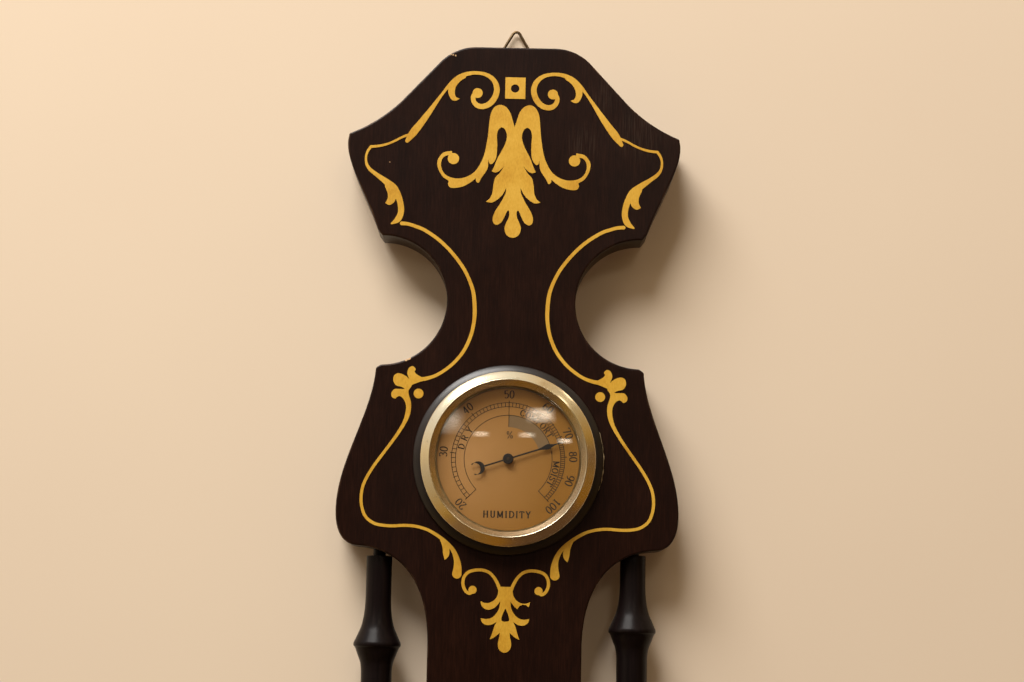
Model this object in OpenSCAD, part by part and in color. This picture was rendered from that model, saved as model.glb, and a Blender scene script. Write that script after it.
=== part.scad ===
// Wall weather station: a shaped and inlaid backboard that carries a hygrometer, a thermometer
// and an aneroid barometer, with two turned spindles beside its neck.
// Millimetres. The origin is the point where the hanging nail meets the wall. +Z is up and the
// front faces -Y, so the wall is the plane y = 0.
// Pieces are drawn as seen from the front: x to the right, y up, z out of the wall. The module
// front() then stands them upright.

/* [Board] */
// Thickness of the wooden backboard
board_t = 18; // [16:0.5:24]
// Room behind the board for the hanger and the rear covers
back_gap = 2.5; // [2.5:0.1:5]
// From the nail down to the top edge of the board
hang_drop = 10; // [8:0.5:12]
// Widest part of the head, at its pointed corners
head_w = 134; // [130:1:146]
// From the top edge down to the head's corners
head_drop = 37; // [36:0.5:40]
// Radius of the round cut on each side of the waist
waist_r = 26.2; // [25:0.2:27]
// From the top edge down to the centre of the waist cuts
waist_drop = 105; // [104:0.5:108]
// Half the distance between the centres of the waist cuts
waist_x = 52; // [51.5:0.5:54]
// Widest part of the board below the hygrometer
bowl_w = 135.6; // [132:0.4:144]
// Width of the straight neck
neck_w = 60.6; // [58:0.2:62]
// Length of the straight neck
neck_len = 113; // [111:1:130]
// Wood outside a spindle's axis, at the shoulders that hold the spindles' lower ends
shoulder_edge = 7.5; // [6:0.5:12]
// Widest part of the board, beside the barometer
belly_w = 186; // [180:1:196]
// From the centre of the barometer down to the tip of the board
foot_len = 148; // [146:1:160]
// How far the inlay stands above the wood
inlay_t = 0.2; // [0.1:0.05:0.4]

/* [Spindles] */
// Half the distance between the spindle axes
spindle_x = 50.5; // [50:0.5:52]
// Diameter of a spindle's plain end
spindle_d = 9.8; // [9:0.1:10.4]
// Diameter of a spindle between its ridges
spindle_waist_d = 12.2; // [11:0.1:13]
// Diameter of a spindle's sharp ridge
ridge_d = 18.8; // [16:0.2:20]
// From the longer plain end to its ridge
ridge_far = 36; // [32:0.5:44]
// From the shorter plain end to its ridge
ridge_near = 31; // [28:0.5:36]
// Diameter of the tenon at each end of a spindle
tenon_d = 5; // [4:0.2:6]
// Length of a spindle's tenon
tenon_len = 12; // [8:0.5:14]

/* [Hanger] */
// Diameter of the nail that the hanger is made for
nail_d = 2.5; // [2:0.1:3]
// Diameter of the ring's wire
wire_d = 1.2; // [1:0.1:1.3]
// Length of each side of the triangular ring, corner to corner
ring_side = 22; // [20:0.5:24]
// Centreline radius of the ring's bends
ring_bend = 1.6; // [1.5:0.1:2]
// Width of the hanger's strap
strap_w = 9; // [8:0.5:10]
// Length of the hanger's strap below the ring's bar
strap_len = 15; // [14:0.5:20]

/* [Hygrometer] */
// From the top edge of the board down to the hygrometer's centre
hygro_drop = 168.5; // [168:0.5:172]
// Outer diameter of the brass bezel
hygro_bezel_d = 70; // [66:0.5:74]
// How far the black ring shows round the bezel
hygro_ring_w = 3.25; // [2.5:0.25:5]
// Thickness of the black ring on the board
hygro_surround_t = 3; // [2:0.1:4]
// From the bezel's outer edge in to its crest
hygro_crest_in = 3.1; // [2.6:0.1:3.6]
// From the bezel's outer edge in to its opening
hygro_bezel_w = 6.1; // [5.6:0.1:7]
// Height of the bezel above the black ring
hygro_bezel_h = 6.5; // [6:0.1:8]
// How far the bezel reaches past the case that sits in the board
hygro_lip = 6; // [5.6:0.1:6.4]
// Depth of the case below the black ring's face
hygro_case_depth = 16.5; // [15.5:0.5:17]
// Height of the glass's dome
hygro_dome = 4.2; // [3.5:0.1:5]
// Length of the hand from its pivot to its tip
hygro_hand_len = 24.5; // [22:0.5:25.5]
// Where the hand points at rest, in degrees clockwise from the top
hygro_rest = 72; // [-130:1:130]
// Turns of the humidity coil
coil_turns = 7; // [5:1:8]

/* [Thermometer] */
// Length of the thermometer's scale plate
thermo_len = 100; // [96:1:106]
// Width of the thermometer's scale plate
thermo_w = 27; // [24:0.5:30]
// Thickness of the thermometer's scale plate
thermo_plate_t = 1.2; // [1:0.1:1.6]
// Outer diameter of the thermometer's stem
stem_d = 5; // [4.4:0.1:5.6]
// Diameter of the stem's bore
stem_bore_d = 1.2; // [0.8:0.1:1.6]
// Diameter of the bulb
bulb_d = 7; // [6.4:0.1:7.6]
// Height of the spirit column above the bulb
spirit_len = 44; // [20:1:60]

/* [Barometer] */
// From the end of the neck down to the barometer's centre
baro_below_neck = 106; // [104:0.5:112]
// Outer diameter of the brass bezel
baro_bezel_d = 127; // [118:0.5:134]
// How far the black ring shows round the bezel
baro_ring_w = 4.5; // [3:0.25:6]
// Thickness of the black ring on the board
baro_surround_t = 4; // [3:0.1:5]
// From the bezel's outer edge in to its crest
baro_crest_in = 5; // [4:0.1:6]
// From the bezel's outer edge in to its opening
baro_bezel_w = 9.8; // [9:0.1:11]
// Height of the bezel above the black ring
baro_bezel_h = 8.5; // [8:0.1:10]
// How far the bezel reaches past the case that sits in the board
baro_lip = 8; // [7.5:0.1:8.6]
// Room between the case and its rear cover
rear_room = 0.8; // [0.6:0.1:2]
// Height of the glass's dome
baro_dome = 4; // [3.5:0.1:5]
// Length of the pressure hand from its pivot to its tip
baro_hand_len = 45; // [40:0.5:48]
// Length of the brass set hand from its pivot to its tip
set_hand_len = 43; // [38:0.5:46]
// Where the pressure hand points at rest, in degrees clockwise from the top
baro_rest = 8; // [-130:1:120]
// Where the set hand points at rest, in degrees clockwise from the top
set_rest = -20; // [-130:1:120]
// Diameter of the setting knob
knob_d = 11; // [9:0.5:14]
// Height of the setting knob
knob_h = 7; // [5:0.5:9]

/* [Movement] */
// Diameter of the movement's base plate
plate_d = 90; // [86:1:94]
// Diameter of the aneroid capsule
capsule_d = 44; // [40:1:46]
// Room between the upper bridge and the dial
bridge_room = 1.85; // [1.5:0.05:2.5]
// Number of rings pressed into the capsule
capsule_rings = 4; // [3:1:5]
// Width of the mainspring
spring_w = 16; // [12:1:20]
// From the edge of the base plate in to the rocker shaft
rocker_in = 12; // [10:0.5:14]
// Distance between the two pillars of the bridge
pillar_span = 60; // [56:1:64]
// Turns of the hairspring
hairspring_turns = 4; // [3:1:5]

/* [Clearances] */
// Gap between a case and the hole that it sits in
case_gap = 0.3; // [0.2:0.05:0.5]
// Gap round a shaft in its bearing
bearing_gap = 0.1; // [0.05:0.01:0.2]
// Gap between two pieces that stay still
seat_gap = 0.1; // [0.05:0.01:0.2]
// Thickness of sheet brass in the cases
sheet_t = 0.8; // [0.6:0.05:1]

/* [Hidden] */
$fn = 64;
$grown = 1;
curve_steps = 14;
eps = 0.01;

// Levels down the board, measured from its top edge
top = -hang_drop;
neck_start = hygro_drop + 74.5;
neck_end = neck_start + neck_len;
baro_drop = neck_end + baro_below_neck;
foot = baro_drop + foot_len;
thermo_drop = neck_start + neck_len / 2 + 9;

// Heights out of the wall
board_back = back_gap;
board_face = back_gap + board_t;
board_mid = back_gap + board_t / 2;

// Half widths of the board
head_x = head_w / 2;
bowl_x = bowl_w / 2;
neck_x = neck_w / 2;
shoulder_x = spindle_x + shoulder_edge;
belly_x = belly_w / 2;

// Diameters of the round instruments
hygro_surround_d = hygro_bezel_d + 2 * hygro_ring_w;
hygro_crest_d = hygro_bezel_d - 2 * hygro_crest_in;
hygro_open_d = hygro_bezel_d - 2 * hygro_bezel_w;
hygro_case_d = hygro_bezel_d - 2 * hygro_lip;
baro_surround_d = baro_bezel_d + 2 * baro_ring_w;
baro_crest_d = baro_bezel_d - 2 * baro_crest_in;
baro_open_d = baro_bezel_d - 2 * baro_bezel_w;
baro_case_d = baro_bezel_d - 2 * baro_lip;

// Colours
wood = [0.16, 0.07, 0.06];
black = [0.05, 0.045, 0.045];
gilt = [0.80, 0.62, 0.30];
brass = [0.82, 0.66, 0.34];
old_brass = [0.60, 0.48, 0.26];
steel = [0.62, 0.63, 0.66];
clear = [0.85, 0.92, 0.95, 0.35];

// Curves
function bezier(a, b, c, d, n = curve_steps) = [
    for (i = [0 : n])
        let (t = i / n, s = 1 - t)
            s * s * s * a + 3 * s * s * t * b + 3 * s * t * t * c + t * t * t * d
];

function arc(c, r, from, to, n = curve_steps) = [
    for (i = [0 : n])
        let (a = from + (to - from) * i / n)
            [c[0] + r * cos(a), c[1] + r * sin(a)]
];

function hermite(b, c, m, k, t) =
    (2 * t * t * t - 3 * t * t + 1) * b + (t * t * t - 2 * t * t + t) * m
    + (3 * t * t - 2 * t * t * t) * c + (t * t * t - t * t) * k;

// A smooth open line through [x, y, width] points
function line_through(p, n = 4) = concat([
    for (i = [0 : len(p) - 2])
        let (
            a = p[max(i - 1, 0)],
            d = p[min(i + 2, len(p) - 1)]
        )
            for (k = [0 : n - 1])
                hermite(p[i], p[i + 1], (p[i + 1] - a) / 2, (d - p[i]) / 2, k / n)
], [p[len(p) - 1]]);

// A closed outline through [x, y] points: smooth, but with a corner at each point that has a 1
// for its third number
function is_corner(p) = len(p) > 2;
function flat_point(p) = [p[0], p[1]];
function outline_through(p, n = 3) = [
    for (i = [0 : len(p) - 1])
        let (
            m = len(p),
            b = flat_point(p[i]),
            c = flat_point(p[(i + 1) % m]),
            a = flat_point(p[(i + m - 1) % m]),
            d = flat_point(p[(i + 2) % m]),
            leave = is_corner(p[i]) ? (c - b) / 2 : (c - a) / 2,
            arrive = is_corner(p[(i + 1) % m]) ? (c - b) / 2 : (d - b) / 2
        )
            for (k = [0 : n - 1])
                hermite(b, c, leave, arrive, k / n)
];

function unit(v) = v / norm(v);
function normal_at(p, i) =
    let (
        a = p[max(i - 1, 0)],
        b = p[min(i + 1, len(p) - 1)],
        u = unit([b[0] - a[0], b[1] - a[1]])
    )
        [-u[1], u[0]];
function side_of(p, s) = [
    for (i = [0 : len(p) - 1])
        let (n = normal_at(p, i))
            [p[i][0] + s * n[0] * p[i][2] / 2, p[i][1] + s * n[1] * p[i][2] / 2]
];
function reversed(p) = [for (i = [len(p) - 1 : -1 : 0]) p[i]];

// Stands what is drawn as seen from the front upright on the wall
module front() {
    rotate([90, 0, 0])
        children();
}

module mirrored() {
    children();
    mirror([1, 0, 0])
        children();
}

module round_pattern(count, r, start = 0) {
    for (i = [0 : count - 1])
        rotate(start + 360 * i / count)
            translate([0, r, 0])
                children();
}

// A ring or disc turned about z from an outline of [radius, height] points
module turned(points) {
    rotate_extrude($fn = 96)
        polygon(points);
}

module disc(r, low, high) {
    translate([0, 0, low])
        cylinder(r = r, h = high - low);
}

// Points drawn below the hygrometer's centre move down as its ring grows
function below_ring(p) = [
    for (q = p)
        q[1] > -178.5 ? q
            : concat([q[0], (q[1] + 178.5) * $grown - 178.5], len(q) > 2 ? [q[2]] : [])
];

// A brush line of changing width with round ends
module brush(drawn) {
    p = below_ring(drawn);
    line = line_through(p);
    polygon(concat(side_of(line, 1), reversed(side_of(line, -1))));
    for (e = [p[0], p[len(p) - 1]])
        translate([e[0], e[1]])
            circle(d = e[2], $fn = 20);
}

module blob(x, y, r) {
    translate([x, y])
        circle(r = r, $fn = 28);
}

module leaf(p) {
    polygon(outline_through(below_ring(p)));
}

// A wood screw seen from the front: its axis is z and its point is at the low end
module round_screw(d, head_d, head_h, low, seat) {
    disc(d / 2, low, seat);
    turned(concat(
        [[0, seat], [head_d / 2, seat]],
        [for (a = [15 : 15 : 75]) [head_d / 2 * cos(a), seat + head_h * sin(a)]],
        [[0, seat + head_h]]
    ));
}

// The backboard
function bowl_underside() = bezier([bowl_x - 9.4, -(hygro_drop + 34.9)],
    [bowl_x - 25.8, -(hygro_drop + 36)], [neck_x - 0.3, -(hygro_drop + 48.5)],
    [neck_x, -neck_start]);
function shoulder() = bezier([neck_x, -neck_end], [neck_x + 1, -(neck_end + 16)],
    [neck_x + 8, -(neck_end + 23)], [shoulder_x, -(neck_end + 28)]);

// The spindles stand between the bowl and the shoulders
spindle_in = spindle_x - spindle_d / 2;
spindle_top = 0.2 - lookup(spindle_in, bowl_underside());
spindle_end = -0.3 - lookup(spindle_in, shoulder());
spindle_len = spindle_end - spindle_top;

function board_side() = concat(
    [[0, 0]],
    arc([16, -20], 20, 90, 45, 8),
    bezier([head_x - 22, -22], [head_x - 17, -27.5], [head_x - 9, -(head_drop - 3.5)],
        [head_x, -head_drop]),
    bezier([head_x, -head_drop - 0.8], [head_x + 2.5, -head_drop - 10],
        [head_x - 7, -head_drop - 23], [waist_x + 2.2, -(waist_drop - waist_r - 2.3)]),
    arc([waist_x, -waist_drop], waist_r, 89, 269, 28),
    bezier([waist_x + 1.5, -(waist_drop + waist_r + 1.3)], [waist_x + 2.5, -(hygro_drop - 18.5)],
        [bowl_x - 1.3, -(hygro_drop - 0.5)], [bowl_x, -(hygro_drop + 17.5)]),
    bezier([bowl_x, -(hygro_drop + 18)], [bowl_x + 0.7, -(hygro_drop + 27.5)],
        [bowl_x - 1.8, -(hygro_drop + 34.5)], [bowl_x - 8.8, -(hygro_drop + 34.9)]),
    bowl_underside(),
    shoulder(),
    bezier([shoulder_x + 1, -(neck_end + 34)], [shoulder_x + 5, -(baro_drop - 45)],
        [belly_x, -(baro_drop - 30)], [belly_x, -(baro_drop + 3)]),
    bezier([belly_x, -(baro_drop + 4)], [belly_x, -(baro_drop + 40)],
        [belly_x - 13, 90 - foot], [belly_x - 31, 75 - foot]),
    arc([belly_x - 43, 51 - foot], 23, 68, 250, 28),
    bezier([belly_x - 49, 26 - foot], [belly_x - 53, 12 - foot], [16, 14 - foot],
        [12, 6 - foot], 10),
    bezier([11.5, 5 - foot], [9, 1 - foot], [4, -foot], [0, -foot], 8)
);

module board_shape() {
    half = board_side();
    polygon(concat(half, [
        for (i = [len(half) - 2 : -1 : 1])
            [-half[i][0], half[i][1]]
    ]));
}

module at_hygrometer() {
    translate([0, top - hygro_drop, 0])
        children();
}

module at_barometer() {
    translate([0, top - baro_drop, 0])
        children();
}

module at_thermometer() {
    translate([0, top - thermo_drop, 0])
        children();
}

module spindle_sockets() {
    for (s = [-1, 1], end = [spindle_top - tenon_len - 0.5, spindle_end - 1])
        translate([s * spindle_x, top - end, board_mid])
            rotate([90, 0, 0])
                cylinder(d = tenon_d + 2 * seat_gap, h = tenon_len + 1.5);
}

module backboard() {
    color(wood)
        front()
            difference() {
                translate([0, top, board_back])
                    linear_extrude(board_t)
                        board_shape();
                at_hygrometer() {
                    disc(hygro_case_d / 2 + case_gap, board_back - 1, board_face + 1);
                    round_pattern(3, hygro_fix_r)
                        disc(fix_screw_d / 2, hygro_screw_low, board_face + 1);
                    round_pattern(3, hygro_cover_fix_r, 60)
                        disc(cover_screw_d / 2, board_back - 1, cover_screw_high);
                }
                at_barometer() {
                    disc(baro_case_d / 2 + case_gap, board_back - 1, board_face + 1);
                    round_pattern(4, baro_fix_r, 45)
                        disc(fix_screw_d / 2, baro_screw_low, board_face + 1);
                    round_pattern(4, baro_cover_fix_r)
                        disc(cover_screw_d / 2, board_back - 1, cover_screw_high);
                }
                at_thermometer() {
                    thermo_pin_places()
                        disc(pin_d / 2, pin_low, board_face + 1);
                    translate([0, bulb_y, 0])
                        disc(bulb_d / 2 + case_gap, bulb_mid - bulb_d / 2 - 0.6, board_face + 1);
                }
                hanger_screw_places()
                    disc(hanger_screw_d / 2, board_back - 1, hanger_screw_high);
                spindle_sockets();
            }
}

// The inlay, in gilt on the board's face
module inlay() {
    color(gilt)
        front()
            translate([0, 0, board_face])
                linear_extrude(inlay_t)
                    offset(delta = 0.001)
                        children();
}

// Both halves of an ornament. It is drawn in millimetres below a nail 10 above the board, on a
// head 134 wide and 78.8 high, a bowl 135.6 wide and a belly 186 wide, and follows their sizes.
module head_level() {
    translate([0, top])
        scale([head_w / 134, (waist_drop - waist_r) / 78.8])
            translate([0, 10])
                mirrored()
                    children();
}

module bowl_level() {
    $grown = hygro_bezel_d / 70;
    translate([0, top - hygro_drop])
        scale([bowl_w / 135.6, 1])
            translate([0, 178.5])
                mirrored()
                    children();
}

module belly_level(stretch) {
    translate([0, top - baro_drop])
        scale([belly_w / 186, stretch])
            mirrored()
                children();
}

module inlay_palmette() {
    inlay()
        head_level() {
            leaf([
                [-0.01, -43.3, 1], [1, -40], [1.75, -37.5], [3.5, -35], [5.75, -34], [8, -34.75],
                [9.25, -36.5], [10, -39], [10.4, -43], [10.75, -47], [11.25, -50.5], [12, -54.5],
                [13.25, -58], [15.25, -61.5], [18, -63.75], [21.5, -65], [25, -64.75],
                [27.5, -63.5], [29, -61.5], [29.6, -59], [29, -56.75], [27.5, -55.5],
                [25, -55.4, 1], [25.3, -53.6, 1], [28.5, -54.25], [30.5, -56.5], [31, -58.5],
                [30.5, -61.5], [28.5, -64.5], [26.25, -66], [26.5, -67.25], [25.5, -68.75],
                [23, -68.75], [20, -68], [17, -66.25], [15.25, -64.75, 1], [15, -66], [14, -66.5],
                [13, -64.5], [11.25, -62], [10.4, -60], [10.4, -57.3, 1], [9.25, -58.4],
                [8, -56.75], [7.25, -54], [7, -50.5], [7.25, -47], [5.5, -43.3, 1], [3.4, -47],
                [4, -51], [5.25, -54], [6.75, -56.3], [8, -58.5], [9, -61.75, 1], [7.5, -62.25],
                [5.5, -61], [4, -59.25, 1], [7, -63], [8.25, -65.5], [8.6, -69], [9.25, -72],
                [11.1, -74.25, 1], [9, -74.75], [6.5, -74], [4.25, -71.5], [2.9, -68.5, 1],
                [3.25, -71], [5, -74.5], [7, -77.5], [8.25, -80], [8.25, -82.5], [7, -83.9],
                [5, -83.25], [3.75, -81], [3, -79], [2.25, -77.9], [1.5, -78.5], [1.5, -80.5],
                [2.5, -82.5], [3.35, -85], [2.75, -87.5], [-0.01, -88.8, 1]
            ]);
            blob(24.5, -56.75, 2.35);
        }
}

module inlay_scrolls() {
    inlay() {
        head_level() {
            brush([
                [15.5, -29.3, 2.4], [17.25, -30.5, 2], [16.75, -33, 2], [15, -34.5, 2.2],
                [13, -34.6, 2.2], [10.5, -33.5, 2.3], [8.5, -31.2, 2.5], [7.65, -28, 2.4],
                [8.25, -25, 2.2], [10, -22.75, 1.9], [12.5, -21.4, 1.7], [15.5, -20.9, 1.6],
                [19, -21.1, 1.8], [22, -22.25, 2], [24.5, -24, 2], [27, -26.5, 1.6],
                [29, -29.25, 1.2], [32, -33.5, 1.8], [35, -38, 2.4], [38, -42.25, 3],
                [41, -46.25, 3.2], [43.5, -50, 1.6]
            ]);
            blob(15.5, -29.3, 2.2);
            leaf([
                [23.8, -22.6, 1], [26, -24.6], [27.5, -26.6], [27.6, -29], [26.8, -31],
                [25, -32.8], [22.8, -32, 1], [24.4, -31], [24.9, -29], [24.6, -26.8], [23.6, -25.2]
            ]);
            brush([
                [42, -47.3, 1.2], [44, -47.6, 1.1], [46, -48.5, 1], [48.5, -50, 1],
                [51.5, -51.4, 1], [54.5, -52.2, 1.1], [58, -52.5, 1.2]
            ]);
            brush([
                [58, -52.5, 1.2], [59.25, -54.5, 1], [59.9, -57, 1], [59.5, -60, 1.2],
                [58, -62, 1.5], [55, -64.25, 1.8], [51.5, -66.75, 2.6], [48.5, -69.5, 3.4],
                [46.25, -73, 2.6], [45.25, -76.5, 2.6], [45.25, -79.5, 2.6], [46.25, -82.3, 2.6],
                [48.9, -84, 0.8]
            ]);
            leaf([
                [51, -67.6, 1], [52, -68.75], [50.75, -71], [50.5, -73.5], [51.5, -75.5, 1],
                [50, -76.6], [48, -75.2], [47.2, -73, 1], [48, -69.6]
            ]);
        }
        head_level()
            difference() {
                polygon([[-0.01, -22.3], [4.4, -22.3], [4.4, -31.4], [-0.01, -31.4]]);
                blob(0, -26.9, 1.6);
            }
    }
}

module inlay_stems() {
    inlay()
        bowl_level() {
            brush([
                [44.7, -83.85, 1.55], [42, -84.1, 1.5], [39, -85, 1.5],
                [35.5, -86.3, 1.5], [30, -90, 1.5], [25, -94.5, 1.5], [20.3, -100.3, 1.5],
                [17.4, -105.5, 1.5], [15.3, -111.3, 1.6], [14.6, -117.6, 1.7],
                [14.7, -122.9, 1.6], [15.8, -128.7, 1.5], [18.2, -134.5, 1.5],
                [21.6, -139.2, 1.4], [25.3, -142.6, 1.4], [29.5, -145.3, 1.4],
                [33.2, -146.6, 1.6], [35.8, -147.1, 1.8], [39, -148.4, 1.8]
            ]);
            leaf([
                [35, -146.2, 1], [37.1, -145], [38, -143.9], [37.6, -142.9], [38.7, -141.8],
                [40.3, -142.6], [40.9, -144.5], [40.3, -146.6], [39.5, -147.9, 1]
            ]);
            leaf([
                [38.9, -148.2, 1], [42.1, -145.3], [44.2, -144.7], [46, -145.5], [46.4, -147.6],
                [45.3, -149.5], [42.9, -150.3], [41, -151.4, 1]
            ]);
            leaf([
                [38.8, -148.6, 1], [41.6, -150.6], [43.7, -150.8], [45.8, -151], [47, -152.6],
                [46.8, -154.2], [45.5, -154.9], [44.7, -154.2], [43.7, -153.9], [42.4, -154.7],
                [41.3, -156.6], [41, -158.6, 1], [39, -158.6, 1], [39.2, -156], [40, -153.4],
                [40.3, -151.6], [39.2, -150]
            ]);
            blob(36.2, -152.7, 2);
            brush([
                [40, -157.6, 2.1], [40.3, -160.8, 2], [41.6, -164.5, 1.6], [44, -168.7, 1.4],
                [46.7, -172.7, 1.3], [50, -177.3, 1.3], [53.3, -182, 1.3], [56, -186.7, 1.3],
                [57.5, -190.7, 1.3], [57.9, -195.3, 1.3], [57.2, -199.3, 1.3], [55.7, -202.3, 1.3],
                [52.7, -204.5, 1.3], [49.3, -205.3, 1.3], [45.3, -205.5, 1.3], [40, -205.2, 1.3],
                [36, -205.5, 1.3], [32, -206.5, 1.3], [28.7, -208.1, 1.4], [25.3, -210.7, 1.6],
                [22, -213.7, 1.8], [19.7, -217.3, 2], [18.5, -221.3, 2.5], [19.2, -224, 3.6]
            ]);
            leaf([
                [26.6, -209.6, 1], [26, -211.3], [25.3, -213.3], [24.7, -216.7], [24.3, -218.3, 1],
                [23, -218], [22.5, -215.3], [22, -213.7, 1]
            ]);
        }
}

module inlay_drop() {
    inlay()
        bowl_level() {
            brush([
                [13.2, -229.7, 2], [15, -230.8, 1.4], [16.7, -228.7, 1.4], [17.2, -226, 1.4],
                [16, -223.3, 1.4], [13.7, -221.9, 1.4], [10.7, -221.5, 1.4], [7.3, -222.1, 1.4],
                [4.7, -224, 1.4], [3, -226.7, 1.4], [2.3, -229, 1.4]
            ]);
            blob(13.2, -178.5 - 51.2 * $grown, 1.7);
            difference() {
                leaf([
                    [-0.01, -228, 1], [2.7, -228, 1], [3.3, -229.3], [3.7, -231.3], [5, -234],
                    [6.7, -235], [9.8, -234.1, 1], [9.7, -236], [8, -237.3], [5.7, -237.3],
                    [3.7, -236], [2.3, -234.3, 1], [3, -236.7], [4.3, -239.3], [6.7, -240.7],
                    [9.5, -240.9, 1], [9, -242.7], [7.3, -243.5], [5.3, -243], [4.3, -242.3, 1],
                    [4.7, -244.7], [5.7, -247.3], [5.9, -249.2, 1], [4, -248], [2.3, -246.7, 1],
                    [2.5, -249.3], [2.8, -251.3], [2, -253.3], [-0.01, -254.1, 1]
                ]);
                leaf([[-0.02, -237, 1], [1.3, -240], [1.2, -241.7], [-0.02, -242.1, 1]]);
            }
        }
}

// The lower ornament follows the edge of the board and ends in a palmette on the foot. Its
// heights are measured from the centre of the barometer.
module inlay_belly() {
    inlay() {
        belly_level(baro_below_neck / 106) {
            brush([
                [10, 84, 2.4], [12.5, 86.5, 2], [15.5, 85.5, 1.8], [16.5, 82.5, 1.6],
                [14.5, 79.5, 1.5], [11, 78.6, 1.5], [7, 80, 1.6], [4.6, 84, 1.8],
                [5.6, 89, 1.8], [10, 93, 1.6], [17, 94, 1.4], [25, 90, 1.4], [33, 84, 1.4],
                [42, 77.5, 1.4], [50.5, 70, 1.4], [58, 61.5, 1.5], [65, 52, 1.6],
                [71.5, 41, 1.8], [76.5, 29, 2], [79.5, 16, 2.2], [81, 4, 2.4]
            ]);
            blob(10, 84, 2.2);
        }
        belly_level(foot_len / 148) {
            brush([
                [81, -10, 2.4], [79.6, -21, 2.1], [76.4, -33, 1.9], [70.5, -45, 1.7],
                [62, -56, 1.5], [52, -66, 1.4], [41, -74, 1.4], [30.5, -80.5, 1.4],
                [23, -87, 1.5], [20, -94.5, 1.6], [21, -101.5, 1.8], [24.6, -106, 2.2]
            ]);
            leaf([
                [81.2, 3, 1], [84.4, 0.5], [85.4, -3], [84, -6.4], [81.2, -9.2, 1],
                [78.4, -6.4], [77.4, -3], [78.4, 0.5]
            ]);
            leaf([
                [-0.01, -84, 1], [3, -86], [4.6, -90], [4, -94.4], [7.4, -92.6],
                [12, -94.4, 1], [10.6, -98.6], [6.4, -100.6], [3.6, -99.4, 1], [5.6, -103],
                [9.6, -105.4], [13.4, -106.4, 1], [11, -110.4], [6.6, -111.4],
                [3.4, -109.6, 1], [4.4, -113.6], [3.8, -118.4], [-0.01, -122, 1]
            ]);
            blob(25.6, -107, 2);
        }
    }
}

// A turned spindle with a sharp ridge near each end, drawn with its longer plain end up
module spindle() {
    end_r = spindle_d / 2;
    mid_r = spindle_waist_d / 2;
    top_r = ridge_d / 2;
    rise = [[end_r, 18], [end_r + 0.6, 11], [end_r + 1.4, 7.5], [end_r + 2.6, 4.6], [top_r, 1.3]];
    fall = [[top_r - 0.7, -1], [mid_r + 1.6, -3.5], [mid_r + 0.5, -6.5], [mid_r, -10]];
    translate([0, 0, -tenon_len])
        cylinder(d = tenon_d, h = spindle_len + 2 * tenon_len);
    turned(concat(
        [[0, 0], [end_r, 0]],
        [for (p = rise) [p[0], ridge_near - p[1]]],
        [[top_r, ridge_near]],
        [for (p = fall) [p[0], ridge_near - p[1]]],
        [for (p = reversed(fall)) [p[0], spindle_len - ridge_far + p[1]]],
        [[top_r, spindle_len - ridge_far]],
        [for (p = reversed(rise)) [p[0], spindle_len - ridge_far + p[1]]],
        [[end_r, spindle_len], [0, spindle_len]]
    ));
}

module left_spindle() {
    color(black)
        translate([-spindle_x, -board_mid, top - spindle_end])
            spindle();
}

module right_spindle() {
    color(black)
        translate([spindle_x, -board_mid, top - spindle_top])
            rotate([180, 0, 0])
                spindle();
}

// The hanger: a triangular wire ring that turns in the rolled edge of a strap
ring_half = 30;
ring_top = nail_d / 2 + 0.05 + wire_d / 2 - ring_bend;
ring_apex = ring_top + ring_bend / sin(ring_half);
ring_bar = ring_apex - ring_side * cos(ring_half);
ring_mid = back_gap / 2;
strap_t = 0.8;
hanger_screw_d = 2.4;
hanger_screw_high = board_back + 9;
screw_1 = ring_bar - 5;
screw_2 = ring_bar - 11;

module hanger_screw_places() {
    for (y = [screw_1, screw_2])
        translate([0, y, 0])
            children();
}

module ring_bend_at(turn) {
    rotate(turn + 60)
        translate([0, 2 * ring_bend - ring_side / sqrt(3), 0])
            rotate(-150)
                rotate_extrude(angle = 120)
                    translate([ring_bend, 0])
                        circle(d = wire_d, $fn = 32);
}

// The straights end a little way inside the bends, so that the wire is one piece
module ring_straight_at(turn) {
    inside = 0.1;
    straight = ring_side - 2 * ring_bend / tan(ring_half) + 2 * inside;
    rotate(turn)
        translate([-straight / 2, -ring_side / (2 * sqrt(3)), 0])
            rotate([0, 90, 0])
                cylinder(d = wire_d - 0.02, h = straight, $fn = 32);
}

module hanger_ring() {
    color(brass)
        front()
            translate([0, ring_bar + ring_side / (2 * sqrt(3)), ring_mid])
                for (turn = [0, 120, 240]) {
                    ring_bend_at(turn);
                    ring_straight_at(turn);
                }
}

module hanger_strap() {
    barrel = back_gap / 2;
    color(old_brass)
        front()
            difference() {
                union() {
                    translate([-strap_w / 2, ring_bar, ring_mid])
                        rotate([0, 90, 0])
                            cylinder(r = barrel, h = strap_w);
                    translate([-strap_w / 2, ring_bar - strap_len, board_back - strap_t])
                        cube([strap_w, strap_len, strap_t]);
                }
                translate([-strap_w / 2 - 1, ring_bar, ring_mid])
                    rotate([0, 90, 0])
                        cylinder(d = wire_d + 2 * bearing_gap, h = strap_w + 2);
                hanger_screw_places()
                    disc(hanger_screw_d / 2, board_back - 2, board_back + 1);
            }
}

module hanger_screws() {
    color(old_brass)
        front()
            hanger_screw_places()
                translate([0, 0, board_back - strap_t])
                    mirror([0, 0, 1])
                        round_screw(hanger_screw_d, 4.2, 1.3, -strap_t - 8, 0);
}

// Pieces that both round instruments have

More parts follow.
